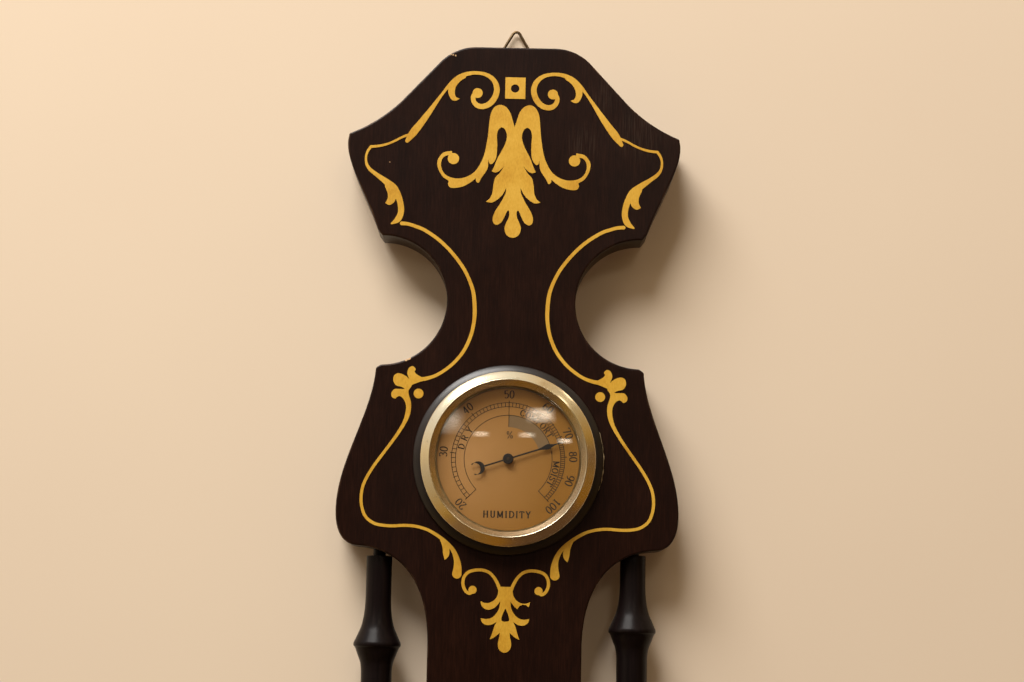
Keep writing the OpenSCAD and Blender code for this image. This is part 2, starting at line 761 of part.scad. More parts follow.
// A cup that sits in the board and hangs by a flange on the black ring. Its rim carries the
// glass and an inner ledge carries the dial.
module cup(r, low, face, flange_r, rim, ledge) {
    inner = r - sheet_t;
    turned([
        [0, low], [r, low], [r, face], [flange_r, face], [flange_r, face + sheet_t],
        [r, face + sheet_t], [r, rim], [inner, rim], [inner, ledge], [inner - 2, ledge],
        [inner - 2, ledge - sheet_t], [inner, ledge - sheet_t], [inner, low + sheet_t],
        [0, low + sheet_t]
    ]);
}

// The bezel: a round-shouldered ring with a crest, hollow below for the flange, its screws
// and the edge of the glass
module bezel(r, crest_r, open_r, flange_r, glass_r, face, height, step, under) {
    crest = face + height;
    turned(concat(
        [[flange_r + seat_gap, face], [r, face]],
        bezier([r, face + 0.8], [r - 0.2, face + height * 0.55], [crest_r + 2.2, crest - 0.2],
            [crest_r, crest], 8),
        bezier([crest_r - 0.5, crest - 0.1], [crest_r - 1.8, crest - 0.6],
            [open_r + 0.8, under + 1.6], [open_r, under + 0.6], 8),
        [[open_r, under], [glass_r + seat_gap, under], [glass_r + seat_gap, step],
            [flange_r + seat_gap, step]]
    ));
}

// A glass with a flat edge and a low dome
module domed_glass(r, dome_r, seat, rise, t) {
    ball = (dome_r * dome_r + rise * rise) / (2 * rise);
    reach = asin(dome_r / ball);
    turned(concat(
        [[r, seat], [r, seat + t]],
        [for (i = [0 : 10]) let (a = reach * (1 - i / 10))
            [ball * sin(a), seat + t + rise - ball + ball * cos(a)]],
        [for (i = [0 : 10]) let (a = reach * i / 10)
            [ball * sin(a), seat + rise - ball + ball * cos(a)]]
    ));
}

module flat_ring(r, inner_r, low, high) {
    difference() {
        disc(r, low, high);
        disc(inner_r, low - 1, high + 1);
    }
}

// A hand drawn pointing up: a thin shaft, a long leaf near the tip and a crescent on its tail
module hand_shape(reach, leaf_from, leaf_w, shaft_w, tail, crescent_r) {
    polygon(concat(
        [[shaft_w / 2, -tail], [shaft_w / 2, leaf_from]],
        bezier([shaft_w / 2, leaf_from], [leaf_w * 0.75, leaf_from + 0.5],
            [leaf_w / 2, leaf_from + reach * 0.12], [0.08, reach], 8),
        reversed(bezier([-shaft_w / 2, leaf_from], [-leaf_w * 0.75, leaf_from + 0.5],
            [-leaf_w / 2, leaf_from + reach * 0.12], [-0.08, reach], 8)),
        [[-shaft_w / 2, leaf_from], [-shaft_w / 2, -tail]]
    ));
    difference() {
        translate([0, -tail - crescent_r + 0.3])
            circle(r = crescent_r);
        translate([0, -tail - crescent_r * 1.5])
            circle(r = crescent_r * 0.9);
    }
}

// A flat spiral strip from an inner to an outer radius
module spiral(r_in, r_out, turns, w) {
    n = turns * 24;
    mid = [
        for (i = [0 : n])
            let (r = r_in + (r_out - r_in) * i / n, a = 15 * i)
                [r * cos(a), r * sin(a), w]
    ];
    polygon(concat(side_of(mid, 1), reversed(side_of(mid, -1))));
}

// The hygrometer
fix_screw_d = 2;
cover_screw_d = 2.4;
cover_screw_high = board_back + 8;
screw_head_h = 0.9;
hygro_face = board_face + hygro_surround_t;
hygro_flange_r = hygro_bezel_d / 2 - 1.4;
hygro_fix_r = hygro_flange_r - 1.8;
hygro_low = hygro_face - hygro_case_depth;
hygro_rim = hygro_face + sheet_t + screw_head_h + 0.3;
hygro_ledge = hygro_face;
hygro_dial_t = 0.5;
hygro_glass_t = 1.5;
hygro_glass_r = hygro_case_d / 2 + 0.9;
hygro_hand_low = hygro_ledge + hygro_dial_t + 1.1;
hygro_hand_t = 0.3;
hygro_screw_low = hygro_face - 9;
hygro_cover_r = hygro_case_d / 2 + 7;
hygro_cover_fix_r = hygro_case_d / 2 + 3.8;
hygro_arbor_d = 1.2;
hygro_floor = hygro_low + sheet_t;
hygro_bridge_top = hygro_ledge - 2.2;

module hygrometer_surround() {
    color(black)
        front()
            at_hygrometer()
                difference() {
                    turned([
                        [hygro_case_d / 2 + case_gap, board_face],
                        [hygro_surround_d / 2, board_face],
                        [hygro_surround_d / 2, hygro_face - 1],
                        [hygro_surround_d / 2 - 1, hygro_face],
                        [hygro_case_d / 2 + case_gap, hygro_face]
                    ]);
                    round_pattern(3, hygro_fix_r)
                        disc(fix_screw_d / 2, board_face - 1, hygro_face + 1);
                }
}

module hygrometer_case() {
    color(old_brass)
        front()
            at_hygrometer()
                difference() {
                    cup(hygro_case_d / 2, hygro_low, hygro_face, hygro_flange_r, hygro_rim,
                        hygro_ledge);
                    round_pattern(3, hygro_fix_r)
                        disc(fix_screw_d / 2, hygro_face - 1, hygro_face + 2);
                    round_pattern(6, hygro_case_d / 2 - 9, 30)
                        disc(2.5, hygro_low - 1, hygro_floor + 1);
                }
}

module hygrometer_screws() {
    color(old_brass)
        front()
            at_hygrometer()
                round_pattern(3, hygro_fix_r)
                    round_screw(fix_screw_d, 3.2, screw_head_h, hygro_screw_low,
                        hygro_face + sheet_t);
}

module hygrometer_bezel() {
    color(brass)
        front()
            at_hygrometer()
                bezel(hygro_bezel_d / 2, hygro_crest_d / 2, hygro_open_d / 2, hygro_flange_r,
                    hygro_glass_r, hygro_face, hygro_bezel_h,
                    hygro_face + sheet_t + screw_head_h + 0.2, hygro_rim + hygro_glass_t + 0.1);
}

module hygrometer_glass() {
    color(clear)
        front()
            at_hygrometer()
                domed_glass(hygro_glass_r, hygro_open_d / 2 - 0.9, hygro_rim, hygro_dome,
                    hygro_glass_t);
}

module hygrometer_dial() {
    color([0.72, 0.50, 0.32])
        front()
            at_hygrometer()
                flat_ring(hygro_case_d / 2 - sheet_t - 0.2, 1.5, hygro_ledge,
                    hygro_ledge + hygro_dial_t);
}

module hygrometer_hand() {
    color(black)
        front()
            at_hygrometer()
                rotate(-hygro_rest)
                    difference() {
                        union() {
                            translate([0, 0, hygro_hand_low])
                                linear_extrude(hygro_hand_t)
                                    hand_shape(hygro_hand_len, 14.5, 2, 0.7, 10, 2.6);
                            disc(2.1, hygro_hand_low, hygro_hand_low + 0.8);
                        }
                        disc(hygro_arbor_d / 2, hygro_hand_low - 1, hygro_hand_low + 2);
                    }
}

module hygrometer_arbor() {
    color(steel)
        front()
            at_hygrometer() {
                disc(hygro_arbor_d / 2, hygro_floor + 0.5, hygro_hand_low + 1.1);
                disc(1.4, hygro_floor + 2.6, hygro_floor + 3.4);
            }
}

// A bent strap that holds the arbor at both ends
module hygrometer_bridge() {
    span = 36;
    width = 8;
    t = 0.9;
    color(old_brass)
        front()
            at_hygrometer()
                difference() {
                    translate([-span / 2, -width / 2, hygro_floor])
                        cube([span, width, hygro_bridge_top - hygro_floor]);
                    translate([-span / 2 + t, -width / 2 - 1, hygro_floor + t])
                        cube([span - 2 * t, width + 2, hygro_bridge_top - hygro_floor - 2 * t]);
                    disc(hygro_arbor_d / 2 + bearing_gap, hygro_floor + 0.4,
                        hygro_bridge_top + 1);
                }
}

// The humidity-sensing coil: its outer end is fixed to a stud on the bridge
module hygrometer_coil() {
    stud_r = 15.5;
    low = hygro_floor + 4;
    color([0.55, 0.42, 0.25])
        front()
            at_hygrometer() {
                translate([0, 0, low])
                    linear_extrude(3.6)
                        spiral(hygro_arbor_d / 2 + 0.9, stud_r, coil_turns, 0.4);
                translate([stud_r - 0.3, -1, low])
                    cube([17.1 - stud_r + 0.3, 2, 3.6]);
            }
}

module rear_cover(r, fix_r, count, start) {
    difference() {
        disc(r, 0, back_gap);
        round_pattern(count, fix_r, start) {
            disc(cover_screw_d / 2, -1, back_gap + 1);
            translate([0, 0, -eps])
                cylinder(d1 = 4.6, d2 = cover_screw_d, h = 1.3);
        }
        children();
    }
}

module cover_screw() {
    disc(cover_screw_d / 2, 1, cover_screw_high - 0.5);
    difference() {
        translate([0, 0, 0.1])
            cylinder(d1 = 4.4, d2 = cover_screw_d, h = 1.15);
        translate([-3, -0.3, 0])
            cube([6, 0.6, 0.5]);
    }
}

module hygrometer_cover() {
    color(black)
        front()
            at_hygrometer()
                rear_cover(hygro_cover_r, hygro_cover_fix_r, 3, 60) {
                    disc(2.5, -1, back_gap + 1);
                    round_pattern(6, hygro_case_d / 2 - 9, 30)
                        disc(2.5, -1, back_gap + 1);
                }
}

module hygrometer_cover_screws() {
    color(old_brass)
        front()
            at_hygrometer()
                round_pattern(3, hygro_cover_fix_r, 60)
                    cover_screw();
}

// The thermometer
pin_d = 1.6;
pin_low = board_face - 7;
pin_head_h = 0.8;
thermo_face = board_face + thermo_plate_t;
tube_mid = thermo_face + stem_d / 2;
bulb_mid = tube_mid;
tube_top = thermo_len / 2 - 9;
bulb_y = -thermo_len / 2 + 13;
bulb_wall = 0.8;

module thermo_pin_places() {
    for (s = [-1, 1])
        translate([0, s * (thermo_len / 2 - 4), 0])
            children();
}

module thermometer_plate() {
    corner = 6;
    color(gilt)
        front()
            at_thermometer()
                difference() {
                    translate([0, 0, board_face])
                        linear_extrude(thermo_plate_t)
                            difference() {
                                square([thermo_w, thermo_len], center = true);
                                for (x = [-1, 1], y = [-1, 1])
                                    translate([x * thermo_w / 2, y * thermo_len / 2])
                                        circle(r = corner);
                            }
                    thermo_pin_places()
                        disc(pin_d / 2, board_face - 1, thermo_face + 1);
                    translate([0, bulb_y, 0])
                        disc(bulb_d / 2 + case_gap, board_face - 1, thermo_face + 1);
                }
}

// The glass stem and bulb, with the bore that the spirit fills
module thermometer_tube() {
    color(clear)
        front()
            at_thermometer()
                translate([0, bulb_y, tube_mid])
                    rotate([-90, 0, 0])
                        difference() {
                            union() {
                                sphere(d = bulb_d);
                                cylinder(d = stem_d, h = tube_top - bulb_y);
                            }
                            sphere(r = bulb_d / 2 - bulb_wall);
                            cylinder(d = stem_bore_d, h = tube_top - bulb_y - 3);
                        }
}

module thermometer_spirit() {
    slack = 0.05;
    color([0.75, 0.08, 0.06])
        front()
            at_thermometer()
                translate([0, bulb_y, tube_mid])
                    rotate([-90, 0, 0]) {
                        sphere(r = bulb_d / 2 - bulb_wall - slack);
                        cylinder(d = stem_bore_d - 2 * slack, h = bulb_d / 2 + spirit_len);
                    }
}

// Two brass clips that hold the stem on its plate
module thermometer_clips() {
    t = 0.5;
    reach = stem_d / 2 + 0.1;
    color(brass)
        front()
            at_thermometer()
                for (y = [-18, 22])
                    translate([0, y, 0])
                        rotate([90, 0, 0])
                            translate([0, 0, -1.6])
                                linear_extrude(3.2)
                                    difference() {
                                        union() {
                                            translate([0, tube_mid])
                                                circle(r = reach + t);
                                            translate([-reach - t, thermo_face])
                                                square([2 * (reach + t), stem_d / 2]);
                                            translate([-reach - 3.2, thermo_face])
                                                square([2 * reach + 6.4, t]);
                                        }
                                        translate([0, tube_mid])
                                            circle(r = reach);
                                        translate([-reach, thermo_face - 1])
                                            square([2 * reach, stem_d / 2 + 1]);
                                    }
}

module thermometer_pins() {
    color(brass)
        front()
            at_thermometer()
                thermo_pin_places()
                    round_screw(pin_d, 3, pin_head_h, pin_low, thermo_face);
}

// The barometer's outside
baro_face = board_face + baro_surround_t;
baro_flange_r = baro_bezel_d / 2 - 2;
baro_fix_r = baro_flange_r - 2.4;
baro_low = board_back + rear_room;
baro_floor = baro_low + sheet_t;
baro_rim = baro_face + 3;
baro_dial_t = 0.6;
baro_ledge = baro_face - 1.1;
baro_glass_t = 2;
baro_glass_r = baro_case_d / 2 + 0.7;
baro_screw_low = baro_face - 13;
baro_cover_r = baro_case_d / 2 + 8;
baro_cover_fix_r = baro_case_d / 2 + 4.4;
baro_hand_low = baro_ledge + baro_dial_t + 1.9;
baro_hand_t = 0.5;
set_hand_low = baro_hand_low + 2.1;
set_hand_t = 0.5;
set_stem_d = 2.5;
glass_crown = baro_rim + baro_dome + baro_glass_t;
arbor_d = 1.5;
adjust_x = -plate_d / 3;
rocker_x = plate_d / 2 - rocker_in;
adjust_d = 2.4;

module barometer_surround() {
    color(black)
        front()
            at_barometer()
                difference() {
                    turned([
                        [baro_case_d / 2 + case_gap, board_face],
                        [baro_surround_d / 2, board_face],
                        [baro_surround_d / 2, baro_face - 1.4],
                        [baro_surround_d / 2 - 1.4, baro_face],
                        [baro_case_d / 2 + case_gap, baro_face]
                    ]);
                    round_pattern(4, baro_fix_r, 45)
                        disc(fix_screw_d / 2, board_face - 1, baro_face + 1);
                }
}

module barometer_case() {
    color(old_brass)
        front()
            at_barometer()
                difference() {
                    cup(baro_case_d / 2, baro_low, baro_face, baro_flange_r, baro_rim,
                        baro_ledge);
                    round_pattern(4, baro_fix_r, 45)
                        disc(fix_screw_d / 2, baro_face - 1, baro_face + 2);
                    round_pattern(3, dial_fix_r, 60)
                        disc(dial_screw_d / 2, baro_ledge - 2, baro_ledge + 1);
                    round_pattern(3, plate_fix_r, 30)
                        disc(plate_screw_d / 2, baro_low - 1, baro_floor + 1);
                    translate([adjust_x, 0, 0])
                        disc(2.4, baro_low - 1, baro_floor + 1);
                }
}

module barometer_screws() {
    color(old_brass)
        front()
            at_barometer()
                round_pattern(4, baro_fix_r, 45)
                    round_screw(fix_screw_d, 3.8, 1.2, baro_screw_low, baro_face + sheet_t);
}

module barometer_bezel() {
    color(brass)
        front()
            at_barometer()
                bezel(baro_bezel_d / 2, baro_crest_d / 2, baro_open_d / 2, baro_flange_r,
                    baro_glass_r, baro_face, baro_bezel_h, baro_face + sheet_t + 1.4,
                    baro_rim + baro_glass_t + 0.1);
}

module barometer_glass() {
    color(clear)
        front()
            at_barometer()
                difference() {
                    domed_glass(baro_glass_r, baro_open_d / 2 - 1, baro_rim, baro_dome,
                        baro_glass_t);
                    disc(set_stem_d / 2 + bearing_gap, baro_rim, glass_crown + 1);
                }
}

dial_fix_r = baro_case_d / 2 - sheet_t - 1.3;
dial_screw_d = 1.2;

module barometer_dial() {
    color([0.93, 0.91, 0.84])
        front()
            at_barometer()
                difference() {
                    flat_ring(baro_case_d / 2 - sheet_t - 0.2, 3, baro_ledge,
                        baro_ledge + baro_dial_t);
                    round_pattern(3, dial_fix_r, 60)
                        disc(dial_screw_d / 2, baro_ledge - 1, baro_ledge + 2);
                }
}

module dial_screws() {
    color(brass)
        front()
            at_barometer()
                round_pattern(3, dial_fix_r, 60)
                    round_screw(dial_screw_d, 2.2, 0.6, baro_ledge - 2, baro_ledge + baro_dial_t);
}

module barometer_hand() {
    color([0.08, 0.10, 0.16])
        front()
            at_barometer()
                rotate(-baro_rest)
                    difference() {
                        union() {
                            translate([0, 0, baro_hand_low])
                                linear_extrude(baro_hand_t)
                                    hand_shape(baro_hand_len, 27, 3.4, 1.1, 16, 4);
                            disc(3.2, baro_hand_low, baro_hand_low + 1.1);
                        }
                        disc(arbor_d / 2, baro_hand_low - 1, baro_hand_low + 2);
                    }
}

module set_hand() {
    color(brass)
        front()
            at_barometer()
                rotate(-set_rest)
                    difference() {
                        union() {
                            translate([0, 0, set_hand_low])
                                linear_extrude(set_hand_t)
                                    hand_shape(set_hand_len, 34, 2, 1, 12, 2.6);
                            disc(3, set_hand_low, set_hand_low + 1);
                        }
                        disc(set_stem_d / 2, set_hand_low - 1, set_hand_low + 3);
                    }
}

// The setting knob, its stem through the glass and the collar that keeps it there
module set_knob() {
    under = baro_rim + baro_dome - 0.25;
    color(brass)
        front()
            at_barometer() {
                disc(set_stem_d / 2, set_hand_low, glass_crown + 1);
                disc(set_stem_d / 2 + 1.2, under - 0.6, under);
                difference() {
                    turned([
                        [0, glass_crown + 0.2], [2.6, glass_crown + 0.2],
                        [2.6, glass_crown + 1.2], [knob_d / 2 - 0.7, glass_crown + 1.6],
                        [knob_d / 2, glass_crown + 2.6], [knob_d / 2, glass_crown + knob_h - 1],
                        [knob_d / 2 - 0.7, glass_crown + knob_h - 0.3],
                        [knob_d / 2 - 2, glass_crown + knob_h], [0, glass_crown + knob_h]
                    ]);
                    round_pattern(24, knob_d / 2 + 0.25)
                        disc(0.5, glass_crown + 2.7, glass_crown + knob_h - 1.1);
                }
            }
}

module barometer_cover() {
    color(black)
        front()
            at_barometer()
                rear_cover(baro_cover_r, baro_cover_fix_r, 4, 0)
                    translate([adjust_x, 0, 0])
                        disc(3, -1, back_gap + 1);
}

module barometer_cover_screws() {
    color(old_brass)
        front()
            at_barometer()
                round_pattern(4, baro_cover_fix_r)
                    cover_screw();
}

// The barometer's movement. Its heights are stacked down from the dial, and the capsule fills
// what is left above the plate.
plate_t = 1.4;
plate_screw_d = 2;
plate_fix_r = plate_d / 2 - 4;
plate_face = baro_floor + plate_t;
upper_bridge_t = 0.8;
upper_bridge_low = baro_ledge - bridge_room - upper_bridge_t;
pulley_h = 1.3;
pulley_r = 0.8;
pulley_low = upper_bridge_low - 1.1 - pulley_h;
lower_bridge_t = 0.8;
lower_bridge_low = pulley_low - 0.25 - lower_bridge_t;
leaf_t = 1.1;
leaf_low = lower_bridge_low - 1.2 - leaf_t;
leaf_end = 8;
hinge_gap = 0.3;
foot_x = adjust_x + 3.6;
lever_t = 0.9;
capsule_top = leaf_low - 1.9;
capsule_h = capsule_top - plate_face - 0.6;
chain_d = 0.5;
chain_y = pulley_r + chain_d / 2 + bearing_gap;
chain_z = pulley_low + pulley_h / 2;
rocker_z = leaf_low - 3.5;
rocker_r = 1;
low_arm = 3;
high_arm = chain_z - rocker_z;
link_gap = 0.35;
post_gap = 18;
post_t = 2;
post_w = 4;
pillar_r = 2.6;
bridge_screw_r = 0.8;
hairspring_low = pulley_low + pulley_h + 0.2;

module movement_plate() {
    color(brass)
        front()
            at_barometer()
                difference() {
                    disc(plate_d / 2, baro_floor, plate_face);
                    round_pattern(3, plate_fix_r, 30)
                        disc(plate_screw_d / 2, baro_floor - 1, plate_face + 1);
                    translate([adjust_x, 0, 0])
                        disc(adjust_d / 2 + bearing_gap, baro_floor - 1, plate_face + 1);
                    for (y = [-1, 1]) {
                        translate([0, y * pillar_span / 2, 0])
                            disc(bridge_screw_r, baro_floor - 1, plate_face + 1);
                        translate([foot_x, y * spring_w / 4, 0])
                            disc(bridge_screw_r, baro_floor - 1, plate_face + 1);
                    }
                }
}

module movement_screws() {
    color(steel)
        front()
            at_barometer()
            {
                round_pattern(3, plate_fix_r, 30)
                    round_screw(plate_screw_d, 3.8, 1.2, baro_low, plate_face);
                for (y = [-1, 1]) {
                    translate([0, y * pillar_span / 2, 0])
                        round_screw(2 * bridge_screw_r, 3.4, 1, baro_floor,
                            upper_bridge_low + upper_bridge_t);
                    translate([foot_x, y * spring_w / 4, 0])
                        round_screw(2 * bridge_screw_r, 3, 0.9, baro_floor, plate_face + leaf_t);
                }
            }
}

// The sealed capsule, pressed into rings on both faces, with its stud and its post
module aneroid_capsule() {
    r = capsule_d / 2;
    low = plate_face + 0.6;
    half = capsule_h / 2;
    ripple = 0.45;
    n = capsule_rings * 8;
    first = 5;
    wave = [
        for (i = [0 : n])
            let (t = i / n)
                [first + (r - 2.5 - first) * t, half - 0.5 - 0.5 * t + ripple * cos(360 * capsule_rings * t)]
    ];
    color([0.72, 0.70, 0.60])
        front()
            at_barometer() {
                turned(concat(
                    [[0, low], [3.4, low]],
                    [for (p = wave) [p[0], low + half - p[1]]],
                    [[r, low + half - 0.5], [r, low + half + 0.5]],
                    [for (p = reversed(wave)) [p[0], low + half + p[1]]],
                    [[3.4, low + capsule_h], [0, low + capsule_h]]
                ));
                disc(3, plate_face, low + 1);
                disc(2.4, low + capsule_h - 1, leaf_low);
            }
}

// The C-shaped mainspring: a foot on the plate, a bend and a leaf over the capsule
module mainspring() {
    mid = (plate_face + leaf_low + leaf_t) / 2;
    outer = (leaf_low + leaf_t - plate_face) / 2;
    bend_x = adjust_x - 4;
    color(steel)
        front()
            at_barometer()
                difference() {
                    translate([0, spring_w / 2, 0])
                        rotate([90, 0, 0])
                            linear_extrude(spring_w)
                                union() {
                                    intersection() {
                                        difference() {
                                            translate([bend_x, mid])
                                                circle(r = outer);
                                            translate([bend_x, mid])
                                                circle(r = outer - leaf_t);
                                        }
                                        translate([bend_x - 20, mid - 20])
                                            square([20, 40]);
                                    }
                                    translate([bend_x, leaf_low])
                                        square([leaf_end - bend_x, leaf_t]);
                                    translate([bend_x, plate_face])
                                        square([foot_x + 2 - bend_x, leaf_t]);
                                }
                    translate([adjust_x, 0, 0])
                        disc(adjust_d / 2 + bearing_gap, plate_face - 1, plate_face + 4);
                    for (y = [-1, 1])
                        translate([foot_x, y * spring_w / 4, 0])
                            disc(bridge_screw_r, plate_face - 1, plate_face + 4);
                }
}

// The screw that sets the mainspring, reached through the back
module adjusting_screw() {
    color(steel)
        front()
            at_barometer()
                translate([adjust_x, 0, 0]) {
                    disc(adjust_d / 2, baro_low + 0.3, plate_face + 3);
                    difference() {
                        disc(2.1, baro_low + 0.1, baro_floor - 0.05);
                        translate([-3, -0.3, baro_low])
                            cube([6, 0.6, 0.45]);
                    }
                }
}

// The arm that carries the mainspring's movement out to the rocker
module lever_arm() {
    root_x = leaf_end + hinge_gap;
    end_x = rocker_x - 1.5;
    color(brass)
        front()
            at_barometer()
                translate([0, 0, leaf_low])
                    linear_extrude(lever_t)
                        polygon([
                            [root_x, -4.5], [root_x + 2, -4.5], [root_x + 6, -2], [end_x - 3, -1.2],
                            [end_x, -1.2], [end_x, 1.2], [end_x - 3, 1.2], [root_x + 6, 2],
                            [root_x + 2, 4.5], [root_x, 4.5]
                        ]);
}

// The wire link between the lever and the rocker
module lever_link() {
    color(steel)
        front()
            at_barometer()
                translate([rocker_x - low_arm, 0, 0])
                    disc(0.3, rocker_z + 0.5 + link_gap, leaf_low);
}

// The rocker: a shaft with a low arm that the link pushes and a high arm that pulls the chain
module rocker() {
    reach = post_gap / 2 + post_t + 0.7;
    color(steel)
        front()
            at_barometer()
                translate([rocker_x, 0, rocker_z]) {
                    translate([0, reach, 0])
                        rotate([90, 0, 0])
                            cylinder(r = rocker_r, h = 2 * reach);
                    translate([-low_arm - 0.9, -0.8, -0.5])
                        cube([low_arm + 0.9, 1.6, 1]);
                    translate([-0.5, -chain_y - 1.3, 0])
                        cube([1, 1, high_arm + 0.5]);
                }
}

// Two posts with the bearings of the rocker
module rocker_posts() {
    mid = (post_gap + post_t) / 2;
    color(brass)
        front()
            at_barometer()
                for (y = [-1, 1])
                    difference() {
                        union() {
                            translate([rocker_x - post_w / 2, y * mid - post_t / 2, plate_face])
                                cube([post_w, post_t, rocker_z - plate_face]);
                            translate([rocker_x, y * mid + post_t / 2, rocker_z])
                                rotate([90, 0, 0])
                                    cylinder(d = post_w, h = post_t);
                        }
                        translate([rocker_x, y * mid + post_t, rocker_z])
                            rotate([90, 0, 0])
                                cylinder(r = rocker_r + bearing_gap, h = 2 * post_t);
                    }
}

// The fine chain from the rocker's high arm past the pulley of the hand's arbor
module chain() {
    from_x = -4;
    color(steel)
        front()
            at_barometer()
                translate([from_x, -chain_y, chain_z])
                    rotate([0, 90, 0])
                        cylinder(d = chain_d, h = rocker_x - 0.8 - from_x);
}

module bridge_pillars() {
    color(brass)
        front()
            at_barometer()
                for (y = [-1, 1])
                    translate([0, y * pillar_span / 2, 0]) {
                        flat_ring(pillar_r, bridge_screw_r, plate_face, lower_bridge_low);
                        flat_ring(pillar_r, bridge_screw_r, lower_bridge_low + lower_bridge_t,
                            upper_bridge_low);
                    }
}

module bridge_bar(low, t) {
    half = pillar_span / 2;
    difference() {
        union() {
            translate([-3, -half, low])
                cube([6, pillar_span, t]);
            for (y = [-1, 1])
                translate([0, y * half, 0])
                    disc(pillar_r + 1, low, low + t);
        }
        disc(arbor_d / 2 + bearing_gap, low - 1, low + t + 1);
        for (y = [-1, 1])
            translate([0, y * half, 0])
                disc(bridge_screw_r, low - 1, low + t + 1);
    }
}

module lower_bridge() {
    color(brass)
        front()
            at_barometer()
                bridge_bar(lower_bridge_low, lower_bridge_t);
}

module upper_bridge() {
    color(brass)
        front()
            at_barometer()
                bridge_bar(upper_bridge_low, upper_bridge_t);
}

module hand_arbor() {
    color(steel)
        front()
            at_barometer() {
                disc(arbor_d / 2, lower_bridge_low - 0.2, baro_hand_low + 1.4);
                disc(pulley_r + 1, pulley_low, pulley_low + 0.2);
                disc(pulley_r, pulley_low, pulley_low + pulley_h);
                disc(pulley_r + 1, pulley_low + pulley_h - 0.2, pulley_low + pulley_h);
            }
}

// The hairspring that takes up the slack of the chain
module hairspring() {
    r = 9;
    color([0.25, 0.3, 0.55])
        front()
            at_barometer()
                rotate(90) {
                    translate([0, 0, hairspring_low])
                        linear_extrude(0.5)
                            spiral(arbor_d / 2 + 0.5, r, hairspring_turns, 0.22);
                    translate([r - 0.2, 0, hairspring_low])
                        cylinder(r = 0.6, h = upper_bridge_low - hairspring_low);
                }
}

backboard();
inlay_palmette();
inlay_scrolls();
inlay_stems();
inlay_drop();
inlay_belly();
left_spindle();
right_spindle();
hanger_strap();
hanger_screws();
hanger_ring();
hygrometer_surround();
hygrometer_bezel();
hygrometer_glass();
hygrometer_dial();
hygrometer_hand();
hygrometer_arbor();
hygrometer_coil();
hygrometer_bridge();
hygrometer_case();
hygrometer_screws();
hygrometer_cover();
hygrometer_cover_screws();
thermometer_plate();
thermometer_tube();
thermometer_spirit();
thermometer_clips();
thermometer_pins();
barometer_surround();
barometer_bezel();
barometer_glass();
barometer_dial();
dial_screws();
barometer_hand();
hand_arbor();
set_hand();
set_knob();
barometer_case();
barometer_screws();
barometer_cover();
barometer_cover_screws();
movement_plate();
movement_screws();
aneroid_capsule();
mainspring();
lever_arm();
lever_link();
rocker();
rocker_posts();
chain();
bridge_pillars();
lower_bridge();
upper_bridge();
hairspring();
adjusting_screw();
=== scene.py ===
import math

import bmesh
import bpy
import numpy as np
from mathutils import Matrix, Vector, geometry


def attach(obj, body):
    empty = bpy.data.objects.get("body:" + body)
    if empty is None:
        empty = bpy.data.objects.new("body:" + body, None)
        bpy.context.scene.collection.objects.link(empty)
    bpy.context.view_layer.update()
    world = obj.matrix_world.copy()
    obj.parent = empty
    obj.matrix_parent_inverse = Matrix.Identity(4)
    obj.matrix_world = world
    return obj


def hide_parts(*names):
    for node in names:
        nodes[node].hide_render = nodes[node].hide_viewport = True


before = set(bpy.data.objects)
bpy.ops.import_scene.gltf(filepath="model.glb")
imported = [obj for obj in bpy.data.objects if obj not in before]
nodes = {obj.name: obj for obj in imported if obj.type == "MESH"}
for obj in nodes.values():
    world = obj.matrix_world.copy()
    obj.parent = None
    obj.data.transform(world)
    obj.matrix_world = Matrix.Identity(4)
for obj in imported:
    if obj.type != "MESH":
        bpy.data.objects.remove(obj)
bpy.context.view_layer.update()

print("frame loaded,", len(nodes), "pieces of the construction")


# Points and meshes. A part of a mesh is (points, faces, surface map or None, smooth or not).

def place(x, y, out):
    x, y, out = np.broadcast_arrays(x, y, out)
    return np.stack([x, -out, y], axis=-1) / 1000.0


def gridQuads(rows, columns):
    i, j = np.meshgrid(np.arange(rows - 1), np.arange(columns - 1), indexing="ij")
    a = i * columns + j
    return np.stack([a, a + 1, a + columns + 1, a + columns], axis=-1).reshape(-1, 4)


# Cubic curve with the four control points a b c d
def bezier(a, b, c, d, steps=16):
    t = np.linspace(0, 1, steps + 1)[:, None]
    a, b, c, d = (np.asarray(v, float) for v in (a, b, c, d))
    s = 1 - t
    return s**3 * a + 3 * s**2 * t * b + 3 * s * t**2 * c + t**3 * d


# Points of a circle from one angle to another, in degrees anticlockwise from the right
def arc(centre, radius, start, end, steps=16):
    t = np.radians(np.linspace(start, end, steps + 1))
    return np.stack([centre[0] + radius * np.cos(t), centre[1] + radius * np.sin(t)], axis=-1)


def circle(centre, radius, steps):
    return arc(centre, radius, 0, 360, steps)[:-1]


# Cubic steps from each row of a to the same row of b, with the slopes leave and arrive
def cubicRows(a, b, leave, arrive, steps):
    t = np.linspace(0, 1, steps, endpoint=False)[None, :, None]
    rows = ((2 * t**3 - 3 * t**2 + 1) * a[:, None] + (t**3 - 2 * t**2 + t) * leave[:, None]
            + (3 * t**2 - 2 * t**3) * b[:, None] + (t**3 - t**2) * arrive[:, None])
    return rows.reshape(-1, a.shape[1])


# Smooth line through points, whose slope at a point is half the step between its neighbours
def smoothLine(points, steps):
    p = np.asarray(points, float)
    q = np.concatenate([p[:1], p, p[-1:]])
    slope = (q[2:] - q[:-2]) / 2
    return np.concatenate([cubicRows(p[:-1], p[1:], slope[:-1], slope[1:], steps), p[-1:]])


def stepsAlong(points):
    return np.concatenate([[0], np.cumsum(np.linalg.norm(np.diff(points, axis=0), axis=1))])


